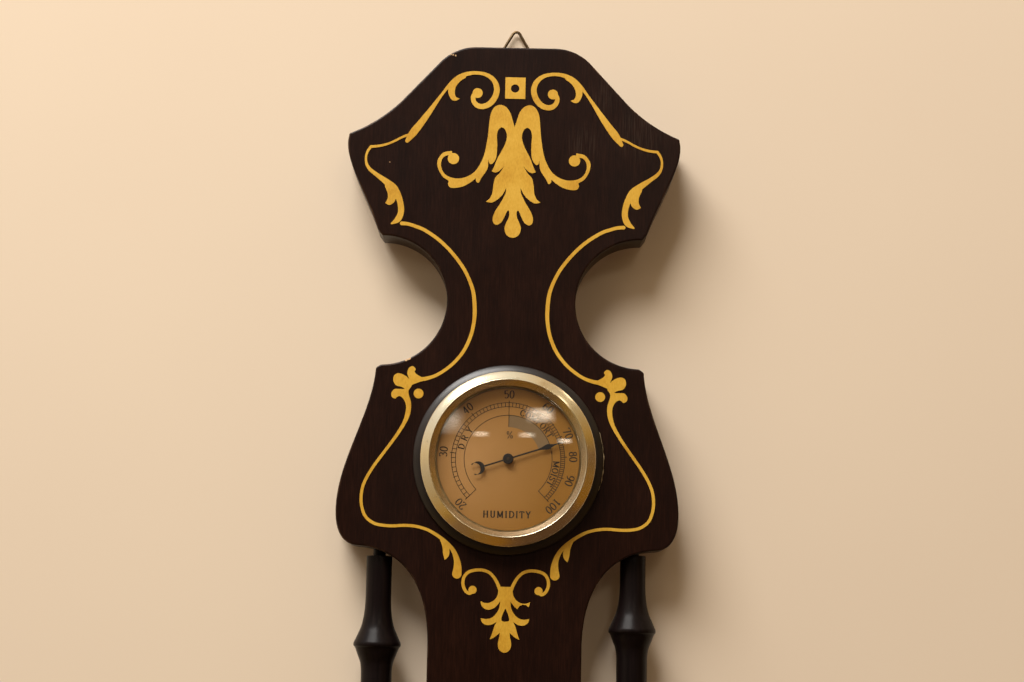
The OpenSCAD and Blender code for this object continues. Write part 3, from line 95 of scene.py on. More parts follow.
# The same closed line with its points an even distance apart
def evenly(loop, spacing):
    closed = np.concatenate([loop, loop[:1]])
    run = stepsAlong(closed)
    at = np.linspace(0, run[-1], int(run[-1] / spacing), endpoint=False)
    return np.stack([np.interp(at, run, closed[:, k]) for k in (0, 1)], axis=-1)


# Unit vectors to the left of a path
def sideways(path, closed=False):
    if closed:
        step = np.roll(path, -1, axis=0) - np.roll(path, 1, axis=0)
    else:
        step = np.gradient(path, axis=0)
    step = step / np.maximum(np.linalg.norm(step, axis=1, keepdims=True), 1e-9)
    return np.stack([-step[:, 1], step[:, 0]], axis=-1)


# Twice the area of a closed loop, above 0 when it runs anticlockwise
def doubleArea(loop):
    x, y = loop[:, 0], loop[:, 1]
    return np.sum(x * np.roll(y, -1) - np.roll(x, -1) * y)


# The rows of a profile carried round a full turn. seat(a, b) gives the points for
# a = radius * sin(turn) and b = radius * cos(turn).
def spun(radius, run, seat, steps):
    turn = np.linspace(0, 2 * np.pi, steps + 1)[:, None]
    points = seat(radius * np.sin(turn), radius * np.cos(turn))
    uv = np.stack(np.broadcast_arrays(turn / (2 * np.pi), run / 10), axis=-1)
    return points.reshape(-1, 3), gridQuads(steps + 1, len(run)), uv.reshape(-1, 2), True


# A profile of (radius, out) rows turned round an axis that points out of the wall
def turned(profile, y, steps=160, closed=True):
    p = np.asarray(profile, float)
    if closed:
        p = np.concatenate([p, p[:1]])
    return spun(p[:, 0], stepsAlong(p), lambda a, b: place(a, y + b, p[:, 1]), steps)


# A profile of (radius, height) rows turned round an upright axis
def turnedUpright(profile, x, out, steps=72):
    p = np.asarray(profile, float)
    return spun(p[:, 0], p[:, 1], lambda a, b: place(x + a, p[:, 1], out + b), steps)


# A closed section of (side, out) rows carried along a closed flat path
def carried(path, section, out):
    across = sideways(path, True)
    x = path[:, 0:1] + across[:, 0:1] * section[:, 0]
    y = path[:, 1:2] + across[:, 1:2] * section[:, 0]
    points = place(x, y, out + section[:, 1])
    points = np.concatenate([points, points[:, :1]], axis=1)
    points = np.concatenate([points, points[:1]])
    return points.reshape(-1, 3), gridQuads(*points.shape[:2]), None, True


# Flat faces that fill closed loops, the first one outside and the others its holes
def filled(loops, out):
    flat = np.concatenate(loops)
    triangles = geometry.tessellate_polygon([[Vector((x, y, 0)) for x, y in l] for l in loops])
    return place(flat[:, 0], flat[:, 1], out), triangles, None, False


# Faces between closed loops of the same length, given row by row as (loop, out)
def walls(rows, smooth=True):
    points = np.stack([place(l[:, 0], l[:, 1], out) for l, out in rows])
    points = np.concatenate([points, points[:, :1]], axis=1)
    return points.reshape(-1, 3), gridQuads(*points.shape[:2]), None, smooth


# A flat plate with softened upper and lower edges
def plate(loop, low, high, soft):
    inner = loop + sideways(loop, True) * soft * np.sign(doubleArea(loop))
    rows = [(inner, low), (loop, low + soft), (loop, high - soft), (inner, high)]
    return [filled([inner], low), filled([inner], high), walls(rows, False)]


# Joins parts into one piece, in the look of its slot unless another material is given. Edges
# sharper than the given angle stay sharp, and mark holds a number for each point.
def makePiece(name, parts, slot, instead=(), body="station", material=None, sharp=38, mark=None):
    points, faces, uvs, smooth, start = [], [], [], [], 0
    for corners, sides, uv, soft in parts:
        if isinstance(sides, np.ndarray):
            sides = sides.tolist()
        points.append(corners)
        faces += [[k + start for k in side] for side in sides]
        uvs.append(np.zeros((len(corners), 2)) if uv is None else uv)
        smooth += [soft] * len(sides)
        start += len(corners)
    mesh = bpy.data.meshes.new(name)
    mesh.from_pydata(np.concatenate(points).tolist(), [], faces)
    corner = np.empty(len(mesh.loops), np.int32)
    mesh.loops.foreach_get("vertex_index", corner)
    surface = mesh.uv_layers.new(name="surface")
    surface.data.foreach_set("uv", np.concatenate(uvs)[corner].ravel())
    mesh.polygons.foreach_set("use_smooth", smooth)
    if mark is not None:
        mesh.attributes.new("edgeMark", "FLOAT", "POINT").data.foreach_set("value", mark)
    work = bmesh.new()
    work.from_mesh(mesh)
    bmesh.ops.remove_doubles(work, verts=work.verts, dist=2e-7)
    bmesh.ops.dissolve_degenerate(work, edges=work.edges, dist=1e-7)
    bmesh.ops.recalc_face_normals(work, faces=work.faces)
    work.to_mesh(mesh)
    work.free()
    softFaces = np.empty(len(mesh.polygons), bool)
    mesh.polygons.foreach_get("use_smooth", softFaces)
    mesh.set_sharp_from_angle(angle=math.radians(sharp))
    mesh.polygons.foreach_set("use_smooth", softFaces)
    mesh.materials.append(material or looks[slot])
    piece = bpy.data.objects.new(name, mesh)
    bpy.context.scene.collection.objects.link(piece)
    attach(piece, body)
    if instead:
        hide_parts(*instead)
    return piece


# Materials. Nodes adds shader nodes to the tree of a material, lamp or world. An input is a
# number, a colour or another node's output, and each call gives the new node's output.

class Nodes:
    def __init__(self, owner):
        owner.use_nodes = True
        self.tree = owner.node_tree

    def put(self, node, inputs):
        for key, value in inputs.items():
            socket = node.inputs[key]
            if isinstance(value, bpy.types.NodeSocket):
                self.tree.links.new(value, socket)
            elif isinstance(value, tuple) and socket.type == "RGBA":
                socket.default_value = (*value, 1)
            else:
                socket.default_value = value

    def node(self, kind, inputs=None, **settings):
        node = self.tree.nodes.new("ShaderNode" + kind)
        for key, value in settings.items():
            setattr(node, key, value)
        self.put(node, inputs or {})
        return node

    def add(self, kind, inputs=None, output=0, **settings):
        return self.node(kind, inputs, **settings).outputs[output]

    def objectSpace(self, stretch):
        point = self.add("TexCoord", output="Object")
        return self.add("Mapping", {"Vector": point, "Scale": stretch})

    def surfaceSpace(self, stretch):
        point = self.add("UVMap", uv_map="surface")
        return self.add("Mapping", {"Vector": point, "Scale": stretch})

    # point is an output, or how finely the object's own space is divided along x, y and z
    def noise(self, point, detail, rough=0.6, scale=1.0):
        if isinstance(point, tuple):
            point = self.objectSpace(point)
        return self.add("TexNoise", {"Vector": point, "Scale": scale, "Detail": detail,
                                     "Roughness": rough})

    def between(self, value, low, high, toLow=0.0, toHigh=1.0):
        return self.add("MapRange", {"Value": value, "From Min": low, "From Max": high,
                                     "To Min": toLow, "To Max": toHigh})

    def math(self, operation, a, b=0.0):
        return self.add("Math", {0: a, 1: b}, operation=operation)

    def weighted(self, *shares):
        total = None
        for value, share in shares:
            part = self.math("MULTIPLY", value, share)
            total = part if total is None else self.math("ADD", total, part)
        return total

    def mix(self, share, a, b):
        return self.add("Mix", {0: share, 6: a, 7: b}, 2, data_type="RGBA")

    def ramp(self, value, *stops):
        colour = self.add("ValToRGB", {0: value})
        points = colour.node.color_ramp.elements
        while len(points) < len(stops):
            points.new(0.5)
        for point, (at, shade) in zip(points, stops):
            point.position = at
            point.color = (*shade, 1)
        return colour

    # Distance in metres from a place on the object
    def away(self, x, y, out):
        point = self.add("TexCoord", output="Object")
        return self.add("VectorMath", {0: point, 1: (x / 1000, -out / 1000, y / 1000)}, "Value",
                        operation="DISTANCE")

    # 1 inside a ball round a spot and 0 outside, with a ragged edge
    def spot(self, x, y, out, radius, ragged=0.5):
        rough = self.noise((1, 1, 1), 4.0, 0.65, 700.0 / radius ** 0.5)
        edge = self.math("MULTIPLY_ADD", rough, ragged * radius / 1000)
        edge.node.inputs[2].default_value = radius / 1000 * (1 - ragged / 2)
        return self.math("LESS_THAN", self.away(x, y, out), edge)


class Surface(Nodes):
    def __init__(self, name):
        self.material = bpy.data.materials.new(name)
        super().__init__(self.material)
        self.tree.nodes.clear()
        self.shader = self.node("BsdfPrincipled")
        self.end = self.node("OutputMaterial", {0: self.shader.outputs[0]})

    # relief is (height, strength, distance)
    def finished(self, colour, rough, relief=None, others=None):
        self.put(self.shader, {"Base Color": colour, "Roughness": rough, **(others or {})})
        if relief:
            normal = self.add("Bump", dict(zip(("Height", "Strength", "Distance"), relief)))
            self.put(self.shader, {"Normal": normal})
        return self.material


wood = dict(
    dark=(0.0074, 0.0021, 0.0011), middle=(0.0125, 0.0036, 0.0018), red=(0.022, 0.0070, 0.0036),
    sheenHairline=(0.050, 0.030, 0.020),
    poreWidth=0.4, poreLength=7.0, bandWidth=7.0, bandLength=120.0, gloss=0.30,
    wornEdge=(0.075, 0.036, 0.018), bare=(0.52, 0.33, 0.17),
    # patches of painted sheen along fine hairlines, as x, y, out, reach
    sheenPatches=((51, -45, 20.5, 13), (28, -50, 20.5, 10), (36, -30, 20.5, 8)),
    # chipped spots, as x, y, out, radius
    chips=((-67.2, -46.6, 17.0, 1.7), (-67.4, -49.4, 18.6, 1.0), (-24.6, -13.9, 20.5, 0.35),
           (-25.6, -13.6, 20.5, 0.35), (-26.5, -13.4, 20.5, 0.3), (-40.4, -138.6, 20.0, 0.9),
           (-41.6, -139.2, 20.3, 0.6), (-50.2, -58.7, 20.5, 0.22)),
)


def lacqueredWood():
    s = Surface("lacqueredWood")
    poreWide, poreLong, bandWide, bandLong = (
        1000 / wood[size] for size in ("poreWidth", "poreLength", "bandWidth", "bandLength"))
    fibre = s.noise((poreWide, poreWide, poreLong), 3)
    band = s.noise((bandWide, bandWide, bandLong), 5)
    grain = s.weighted((band, 0.25), (s.noise((70, 70, 40), 4), 0.25), (fibre, 0.5))
    colour = s.ramp(grain, (0.38, wood["dark"]), (0.50, wood["middle"]), (0.64, wood["red"]))
    edge = s.add("Attribute", output="Fac", attribute_name="edgeMark")
    worn = s.math("MULTIPLY", edge, s.between(s.noise((180, 180, 60), 6, 0.7), 0.50, 0.68))
    colour = s.mix(worn, colour, wood["wornEdge"])
    # Painted sheen: fine upright hairlines lightened in soft patches round the given spots
    hairs = s.between(s.noise((1900, 1900, 70), 2), 0.50, 0.62)
    for x, y, out, reach in wood["sheenPatches"]:
        near = s.between(s.away(x, y, out), reach / 1000, reach / 3000, 0.0, 0.55)
        colour = s.mix(s.math("MULTIPLY", near, hairs), colour, wood["sheenHairline"])
    chips = s.spot(*wood["chips"][0])
    for spot in wood["chips"][1:]:
        chips = s.math("MAXIMUM", chips, s.spot(*spot))
    colour = s.mix(chips, colour, wood["bare"])
    smear = s.between(s.noise((14, 14, 9), 4), 0.3, 0.7, wood["gloss"], wood["gloss"] + 0.1)
    rough = s.math("ADD", smear, s.math("MULTIPLY", chips, 0.4))
    return s.finished(colour, rough, (fibre, 0.30, 0.00010), {
        "Coat Weight": 0.06, "Coat Roughness": 0.22, "Specular IOR Level": 0.15})


def giltInlay():
    s = Surface("giltInlay")
    mixed = s.weighted((s.noise((60, 60, 60), 5), 0.65), (s.noise((2200, 2200, 900), 2), 0.35))
    colour = s.ramp(mixed, (0.34, (0.58, 0.285, 0.016)), (0.50, (0.70, 0.390, 0.030)),
                    (0.66, (0.78, 0.47, 0.055)))
    return s.finished(colour, s.between(mixed, 0.35, 0.65, 0.42, 0.56), (mixed, 0.25, 0.00005),
                      {"Metallic": 0.12})


def ebonisedWood():
    s = Surface("ebonisedWood")
    fibre = s.noise((900, 900, 30), 4)
    colour = s.ramp(fibre, (0.3, (0.0045, 0.0026, 0.0026)), (0.7, (0.0100, 0.0058, 0.0056)))
    rough = s.between(s.noise((45, 45, 20), 4), 0.3, 0.7, 0.30, 0.44)
    return s.finished(colour, rough, (fibre, 0.25, 0.0001), {
        "Specular IOR Level": 0.10, "Coat Weight": 0.03, "Coat Roughness": 0.2})


# Black lacquered metal ring: fine rings left by its turning and a faint dusty sheen
def turnedBlack():
    s = Surface("turnedBlack")
    lines = s.noise(s.surfaceSpace((3, 90, 1)), 4, 0.7)
    colour = s.ramp(s.noise((90, 90, 90), 5), (0.35, (0.007, 0.004, 0.003)),
                    (0.75, (0.016, 0.011, 0.010)))
    return s.finished(colour, s.between(lines, 0.3, 0.7, 0.30, 0.44), (lines, 0.3, 0.00008), {
        "Specular IOR Level": 0.42, "Coat Weight": 0.22, "Coat Roughness": 0.22})


# Brass and the other bare metals: a tint that wanders, upright hairlines or, on a turned piece,
# lines round it, and spots of tarnish
def bareMetal(name, bright, dull, gloss, tarnish, roundLines=False):
    s = Surface(name)
    lines = s.noise(s.surfaceSpace((14, 160, 1)) if roundLines else (2500, 2500, 160), 4, 0.7)
    cloud = s.between(s.noise((70, 70, 70), 5), 0.62 - tarnish * 0.3, 0.85 - tarnish * 0.25)
    fleck = s.between(s.noise((420, 420, 420), 3), 0.66 - tarnish * 0.1, 0.76, 0.0, 0.55)
    colour = s.mix(fleck, s.mix(cloud, bright, dull), dull)
    rough = s.between(s.math("ADD", lines, fleck), 0.3, 1.0, gloss, gloss + 0.22)
    return s.finished(colour, rough, (lines, 0.12, 0.00004), {"Metallic": 1.0})


# The hygrometer's dial: copper-tan satin, with painted light that makes it paler at its left and darker
# and more golden away from there
def copperDial():
    s = Surface("copperDial")
    brushed = s.noise((2600, 2600, 90), 3)
    mixed = s.weighted((brushed, 0.25), (s.noise((38, 38, 38), 4, 0.55), 0.75))
    colour = s.ramp(mixed, (0.36, (0.335, 0.148, 0.029)), (0.52, (0.390, 0.184, 0.043)),
                    (0.68, (0.455, 0.230, 0.070)))
    # Painted light: the colour is paler toward a spot at the dial's left, darker and more golden away
    # from it
    near = s.mix(0.5, colour, (0.60, 0.34, 0.130))
    colour = s.mix(s.between(s.away(-18, -176, 24), 0.004, 0.040), near, (0.320, 0.146, 0.018))
    return s.finished(colour, s.between(brushed, 0.3, 0.7, 0.40, 0.52), (brushed, 0.08, 0.00003),
                      {"Metallic": 0.25})


def paintedPlate(name, light, shade, metallic, gloss):
    s = Surface(name)
    fine = s.noise((1500, 1500, 1500), 2, 0.5)
    colour = s.ramp(s.noise((30, 30, 30), 5), (0.35, shade), (0.6, light))
    return s.finished(colour, s.between(fine, 0.3, 0.7, gloss, gloss + 0.1),
                      (fine, 0.08, 0.00003), {"Metallic": metallic})


def clearGlass(name, bend):
    s = Surface(name)
    colour = s.ramp(s.noise((55, 55, 90), 5, 0.65), (0.4, (0.99, 0.99, 0.985)),
                    (0.7, (0.95, 0.95, 0.94)))
    return s.finished(colour, 0.0, None, {"Transmission Weight": 1.0, "IOR": bend})


def redSpirit():
    s = Surface("redSpirit")
    colour = s.ramp(s.noise((300, 300, 120), 2, 0.5), (0.3, (0.42, 0.012, 0.010)),
                    (0.7, (0.60, 0.025, 0.018)))
    return s.finished(colour, 0.08, None, {"Specular IOR Level": 0.6})


brassTint, brassShade = (0.82, 0.71, 0.50), (0.52, 0.38, 0.18)
looks = {
    "lacquered_wood": lacqueredWood(),
    "gilt_inlay": giltInlay(),
    "ebonised_wood": ebonisedWood(),
    "aged_brass": bareMetal("agedBrass", (0.50, 0.36, 0.17), (0.20, 0.13, 0.06), 0.36, 0.8),
    "polished_brass": bareMetal("polishedBrass", brassTint, brassShade, 0.20, 0.2),
    "clear_glass": clearGlass("clearGlass", 1.5),
    "copper_dial": copperDial(),
    "ivory_dial": paintedPlate("ivoryDial", (0.76, 0.71, 0.57), (0.68, 0.62, 0.46), 0.0, 0.42),
    "gold_plate": paintedPlate("goldPlate", (0.66, 0.44, 0.17), (0.55, 0.35, 0.12), 0.45, 0.36),
    "black_enamel": paintedPlate("blackEnamel", (0.016, 0.012, 0.010), (0.010, 0.008, 0.007), 0.0,
                                 0.34),
    "blued_steel": bareMetal("bluedSteel", (0.035, 0.055, 0.16), (0.02, 0.02, 0.05), 0.22, 0.2),
    "bright_steel": bareMetal("brightSteel", (0.56, 0.56, 0.57), (0.30, 0.28, 0.25), 0.26, 0.3),
    "coil_strip": bareMetal("coilStrip", (0.42, 0.28, 0.12), (0.22, 0.14, 0.06), 0.40, 0.6),
    "nickel_silver": bareMetal("nickelSilver", (0.56, 0.53, 0.45), (0.33, 0.30, 0.24), 0.30, 0.4),
    "black_board": paintedPlate("blackBoard", (0.020, 0.018, 0.016), (0.012, 0.011, 0.010), 0.0,
                                0.62),
    "red_spirit": redSpirit(),
}
ringWire = bareMetal("ringWire", (0.20, 0.135, 0.07), (0.07, 0.045, 0.025), 0.34, 0.7)
darkSteel = bareMetal("darkSteel", (0.10, 0.075, 0.055), (0.04, 0.03, 0.025), 0.34, 0.5)
bezelBrass = bareMetal("bezelBrass", brassTint, brassShade, 0.13, 0.1, roundLines=True)
ringBlack = turnedBlack()
print("materials ready:", len(looks), "in slots and 4 more")


# The board

boardSizes = dict(
    back=2.5, face=20.5, top=-10.0, soft=0.7, spacing=0.8,
    headX=67.0, headDrop=37.0, waistR=26.2, waistDrop=105.0, waistX=52.0,
    hygroDrop=168.5, bowlX=67.8, neckX=30.3, neckStart=243.0, neckEnd=356.0,
    shoulderX=58.0, bellyX=93.0, baroDrop=462.0, foot=610.0,
    hygroBore=29.3, baroBore=55.8,
)


def boardOutline():
    b = boardSizes
    hx, bx, nx, ex = b["headX"], b["bowlX"], b["neckX"], b["bellyX"]
    hd, wd, hg, ne, bd, ft = (b[k] for k in ("headDrop", "waistDrop", "hygroDrop", "neckEnd",
                                             "baroDrop", "foot"))
    half = np.concatenate([
        [[0, 0]],
        arc((16, -20), 20, 90, 45),
        bezier((hx - 22, -22), (hx - 17, -27.5), (hx - 9, 3.5 - hd), (hx, -hd), 20),
        bezier((hx, -hd - 0.8), (hx + 2.5, -hd - 10), (hx - 7, -hd - 23),
               (b["waistX"] + 2.2, b["waistR"] + 2.3 - wd), 20),
        arc((b["waistX"], -wd), b["waistR"], 89, 269, 60),
        bezier((b["waistX"] + 1.5, -wd - b["waistR"] - 1.3), (b["waistX"] + 2.5, 18.5 - hg),
               (bx - 1.3, 0.5 - hg), (bx, -hg - 17.5), 20),
        bezier((bx, -hg - 18), (bx + 0.7, -hg - 27.5), (bx - 1.8, -hg - 34.5),
               (bx - 8.8, -hg - 34.9), 20),
        bezier((bx - 9.4, -hg - 34.9), (bx - 25.8, -hg - 36), (nx - 0.3, -hg - 48.5),
               (nx, -b["neckStart"]), 30),
        bezier((nx, -ne), (nx + 1, -ne - 16), (nx + 8, -ne - 23), (b["shoulderX"], -ne - 28), 24),
        bezier((b["shoulderX"] + 1, -ne - 34), (b["shoulderX"] + 5, 45 - bd), (ex, 30 - bd),
               (ex, -bd - 3), 36),
        bezier((ex, -bd - 4), (ex, -bd - 40), (ex - 13, 90 - ft), (ex - 31, 75 - ft), 36),
        arc((ex - 43, 51 - ft), 23, 68, 250, 60),
        bezier((ex - 49, 26 - ft), (ex - 53, 12 - ft), (16, 14 - ft), (12, 6 - ft), 16),
        bezier((11.5, 5 - ft), (9, 1 - ft), (4, -ft), (0, -ft), 12),
    ])
    left = half[-2:0:-1] * [-1, 1]
    return np.concatenate([half, left]) + [0, b["top"]]


# The rim's edges are quarter circles: at angle a the outline is drawn in by soft * (1 - cos a)
# and stands soft * (1 - sin a) below the face. rimWear says how worn each row of the rim is.
def makeBoard():
    b = boardSizes
    loop = evenly(boardOutline(), b["spacing"])
    inward = -sideways(loop, True)
    rimWear = [0, .7, 1, 1, .8, .3]
    front = [(loop + inward * b["soft"] * (1 - np.cos(a)), b["face"] - b["soft"] * (1 - np.sin(a)))
             for a in np.radians(np.linspace(90, 0, len(rimWear)))]
    back = [(l, b["back"] + b["face"] - out) for l, out in front]
    bores = [circle((0, b["top"] - b["hygroDrop"]), b["hygroBore"], 160),
             circle((0, b["top"] - b["baroDrop"]), b["baroBore"], 160)]
    flat = [filled([front[0][0]] + bores, b[side]) for side in ("face", "back")]
    rim = walls(front + back[::-1])
    insides = [walls([(bore, b["face"]), (bore, b["back"])]) for bore in bores]
    mark = np.concatenate([np.zeros(sum(len(part[0]) for part in flat)),
                           np.repeat(rimWear + rimWear[::-1], len(loop) + 1),
                           np.zeros(sum(len(part[0]) for part in insides))])
    makePiece("Board", flat + [rim] + insides, "lacquered_wood", ("backboard",), mark=mark)


makeBoard()
print("board made")


# The gilt inlay, drawn for the right half in millimetres below the nail

inlayHigh, inlayLow = boardSizes["face"] + 0.2, boardSizes["face"] - 0.05


# Closed outline through points, smooth but for a corner at each point with a third number
def leaf(points, steps=7):
    p = np.array([q[:2] for q in points], float)
    corner = np.array([len(q) > 2 for q in points])[:, None]
    before, after, beyond = np.roll(p, 1, 0), np.roll(p, -1, 0), np.roll(p, -2, 0)
    leave = np.where(corner, after - p, after - before) / 2
    arrive = np.where(np.roll(corner, -1, 0), after - p, beyond - p) / 2
    return [cubicRows(p, after, leave, arrive, steps)]


def blob(x, y, r):
    return [circle((x, y), r, 40)]


# A stroke through (x, y, width) points as a row of triangles with round ends
def brush(points, steps=7):
    line = smoothLine(points, steps)
    across = sideways(line[:, :2]) * line[:, 2:] / 2
    left, right = line[:, :2] + across, line[:, :2] - across
    row = np.concatenate([np.stack([left[:-1], right[:-1], right[1:]], axis=1),
                          np.stack([left[:-1], right[1:], left[1:]], axis=1)])
    return list(row) + [circle(line[k, :2], line[k, 2] / 2, 24) for k in (0, -1)]


# The loops and their mirror images are joined into one flat shape, less the holes, and given a
# thickness. A triangle is kept when it lies in some loop and in no hole.
def inlayPiece(name, node, loops, holes=()):
    loops = [l for l in loops if abs(doubleArea(l)) > 1e-4]
    loops += [l * [-1, 1] for l in loops]
    solid = len(loops)
    loops = [l if doubleArea(l) > 0 else l[::-1] for l in loops + list(holes)]
    starts = np.concatenate([[0], np.cumsum([len(l) for l in loops])]).tolist()
    found = geometry.delaunay_2d_cdt(
        [Vector(q) for q in np.concatenate(loops)], [],
        [list(range(a, b)) for a, b in zip(starts[:-1], starts[1:])], 0, 1e-5)
    tri = np.array([corners for corners, owners in zip(found[2], found[5])
                    if owners and max(owners) < solid])
    flat = np.array([tuple(v) for v in found[0]])
    count = len(flat)
    edges = np.concatenate([tri[:, [0, 1]], tri[:, [1, 2]], tri[:, [2, 0]]])
    twin = np.isin(edges[:, 1] * count + edges[:, 0], edges[:, 0] * count + edges[:, 1])
    rim = edges[~twin]
    points = np.concatenate([place(flat[:, 0], flat[:, 1], out) for out in (inlayHigh, inlayLow)])
    faces = (tri.tolist() + (tri[:, ::-1] + count).tolist()
             + np.stack([rim[:, 1], rim[:, 0], rim[:, 0] + count, rim[:, 1] + count], 1).tolist())
    makePiece(name, [(points, faces, None, False)], "gilt_inlay", (node,))


palmette = leaf([
    (-0.02, -43.4, 1), (1.0, -40), (1.8, -37.5), (3.5, -35.1), (5.8, -34.1), (7.9, -34.8),
    (9.2, -36.5), (10, -39), (10.4, -43), (10.75, -47), (11.25, -50.5), (12, -54.5),
    (13.25, -58), (15.25, -61.4), (18, -63.7), (21.5, -64.9), (25, -64.7), (27.5, -63.5),
    (29, -61.5), (29.5, -59), (28.9, -56.8), (27.4, -55.6), (25, -55.4, 1), (25.2, -53.7, 1),
    (28.4, -54.3), (30.4, -56.5), (31, -58.6), (30.4, -61.5), (28.5, -64.5), (26.3, -66),
    (26.5, -67.3), (25.5, -68.7), (23, -68.8), (20, -68), (17, -66.2), (15.3, -64.7, 1),
    (15.1, -66), (14.1, -66.5), (13, -64.5), (11.3, -62), (10.5, -60), (10.3, -56.8, 1),
    (9.9, -58.4), (9.1, -58.8), (7.9, -57.6), (7.1, -55.4), (6.9, -50.6), (7.1, -47),
    (6.6, -44.6), (5.2, -43.5), (3.7, -44.6), (3.05, -47.2), (3.7, -50.3), (5.1, -53.3),
    (6.7, -56.4), (8, -59.8), (8.9, -61.8, 1), (7.4, -62.2), (5.7, -61.4), (3.7, -59.2, 1),
    (5.7, -62.4), (7.4, -64.3), (8.1, -67.2), (8.5, -70.6), (9.4, -72.8), (11, -74.3, 1),
    (8.6, -74.6), (6, -73), (4.2, -71), (2.9, -68.4, 1), (3.2, -70.8), (5.1, -74.7),
    (7.1, -78), (8.1, -80.8), (7.8, -82.9), (6.5, -83.7), (4.7, -82.7), (3.5, -80.6),
    (2.8, -78.9), (2.1, -77.7), (1.5, -78.4), (1.6, -80.4), (2.6, -82.7), (3.3, -85),
    (2.7, -87.4), (1.3, -88.6), (-0.02, -88.9, 1)])
inlayPiece("InlayPalmette", "inlay_palmette", palmette + blob(24.5, -56.8, 2.3))
inlayPiece("InlayScrolls", "inlay_scrolls", (
    brush([
        (15.3, -29.4, 2.2), (17, -30.7, 1.9), (16.7, -33.1, 1.9), (15, -34.7, 2.1),
        (12.8, -34.9, 2.2), (10.4, -33.8, 2.3), (8.4, -31.3, 2.4), (7.5, -28, 2.3),
        (8.2, -25, 2.1), (10, -22.8, 1.8), (12.5, -21.5, 1.5), (15.7, -21, 1.4), (19, -21.3, 1.6),
        (22, -22.4, 1.9), (24.5, -24.1, 1.9), (27, -26.6, 1.5), (29.1, -29.3, 1.1),
        (32, -33.5, 1.5), (35, -38, 2.2), (38, -42.3, 2.8), (41, -46.3, 3.1), (43.4, -49.8, 1.6)])
    + blob(15.3, -29.4, 2.05)
    + leaf([
        (20.5, -22.0, 1), (24, -23.4), (26.6, -26.4), (27.3, -28.7), (26.8, -30.8), (25.7, -32.4),
        (24.2, -32.8), (22.5, -31.9, 1), (24, -31.2), (24.6, -29.6), (24.4, -27.6), (23.5, -25.8),
        (22.1, -24.3), (20.2, -22.9)])
    + brush([
        (41.6, -47, 1.2), (44, -47.7, 1.0), (46, -48.6, 0.9), (48.5, -50, 0.9),
        (51.5, -51.3, 0.9), (54.5, -52.1, 1.0), (58, -52.5, 1.1)])
    + brush([
        (58, -52.5, 1.1), (59.3, -54.5, 1.0), (59.9, -57, 0.9), (59.5, -59.8, 1.1),
        (58, -62, 1.4), (55, -64.3, 1.7), (51.5, -66.8, 2.5), (48.5, -69.5, 3.3),
        (46.3, -73, 2.6), (45.3, -76.5, 2.4), (45.2, -79.5, 2.4), (46.4, -82.3, 2.4),
        (48.8, -84, 0.7)])
    + leaf([
        (50.5, -66.9, 1), (51.9, -68.3), (51.4, -69.9), (50.7, -71.7), (50.7, -73.8),
        (51.6, -75.6, 1), (49.9, -76.4), (48, -75.2), (47.2, -73, 1), (48, -69.6)])
    + [np.array([(-0.02, -22.6), (4.1, -22.6), (4.1, -31.5), (-0.02, -31.5)])]),
    blob(-0.1, -27.2, 1.7))
inlayPiece("InlayStems", "inlay_stems", (
    brush([
        (44.7, -83.85, 1.5), (42, -84.1, 1.4), (39, -85, 1.4), (35.5, -86.4, 1.4),
        (30, -90, 1.4), (25, -94.6, 1.4), (20.3, -100.4, 1.4), (17.4, -105.5, 1.4),
        (15.3, -111.3, 1.5), (14.6, -117.6, 1.6), (14.7, -122.9, 1.5), (15.8, -128.7, 1.4),
        (18.2, -134.5, 1.4), (21.6, -139.2, 1.3), (25.3, -142.6, 1.3), (29.5, -145.3, 1.3),
        (33.2, -146.6, 1.5), (35.8, -147.1, 1.7), (39, -148.4, 1.7)])
    + leaf([
        (35, -146.2, 1), (37.1, -145), (38, -143.9), (37.6, -142.9), (38.7, -141.8),
        (40.2, -142.4), (40.9, -144.4), (40.3, -146.4), (39.5, -147.9, 1)])
    + leaf([
        (38.9, -148.2, 1), (41.4, -145.8), (44.2, -144.7), (46, -145.5), (46.4, -147.6),
        (45.3, -149.5), (42.9, -150.2), (41, -151.4, 1)])
    + leaf([
        (38.8, -148.6, 1), (41.6, -150.8), (43.7, -151), (45.8, -151.1), (47, -152.6),
        (46.8, -154.2), (45.5, -154.9), (44.7, -154.2), (43.7, -153.9), (42.4, -154.7),
        (41.3, -156.6), (41, -158.6, 1), (39, -158.6, 1), (39.2, -156), (40, -153.4),
        (40.2, -151.6), (39.2, -150)])
    + blob(36.2, -152.7, 1.95)
    + brush([
        (40, -157.6, 2), (40.3, -160.8, 1.9), (41.6, -164.5, 1.5), (44, -168.7, 1.3),
        (46.7, -172.7, 1.2), (50, -177.3, 1.2), (53.3, -182, 1.2), (56, -186.7, 1.2),
        (57.5, -190.7, 1.2), (57.9, -195.3, 1.2), (57.2, -199.3, 1.2), (55.7, -202.3, 1.2),
        (52.7, -204.5, 1.2), (49.3, -205.3, 1.2), (45.3, -205.5, 1.2), (40, -205.2, 1.2),
        (36, -205.5, 1.2), (32, -206.5, 1.2), (28.7, -208.1, 1.3), (25.4, -210.3, 1.4),
        (22.6, -212.7, 1.5), (20.7, -215.2, 1.8), (19.5, -218.2, 2.3), (19.1, -221.2, 3.1),
        (19.3, -223.9, 3.7)])
    + leaf([
        (27, -209.2, 1), (26, -211.3), (25.2, -213.6), (24.9, -216.2), (24.2, -218.5, 1),
        (23, -217.4), (22.4, -215.6), (22.7, -213, 1)])))
bite = circle((0, 0), 2.35, 44) * (1 + 0.05 * np.sin(np.arange(44) * 1.7))[:, None] + [7.2, -237.8]
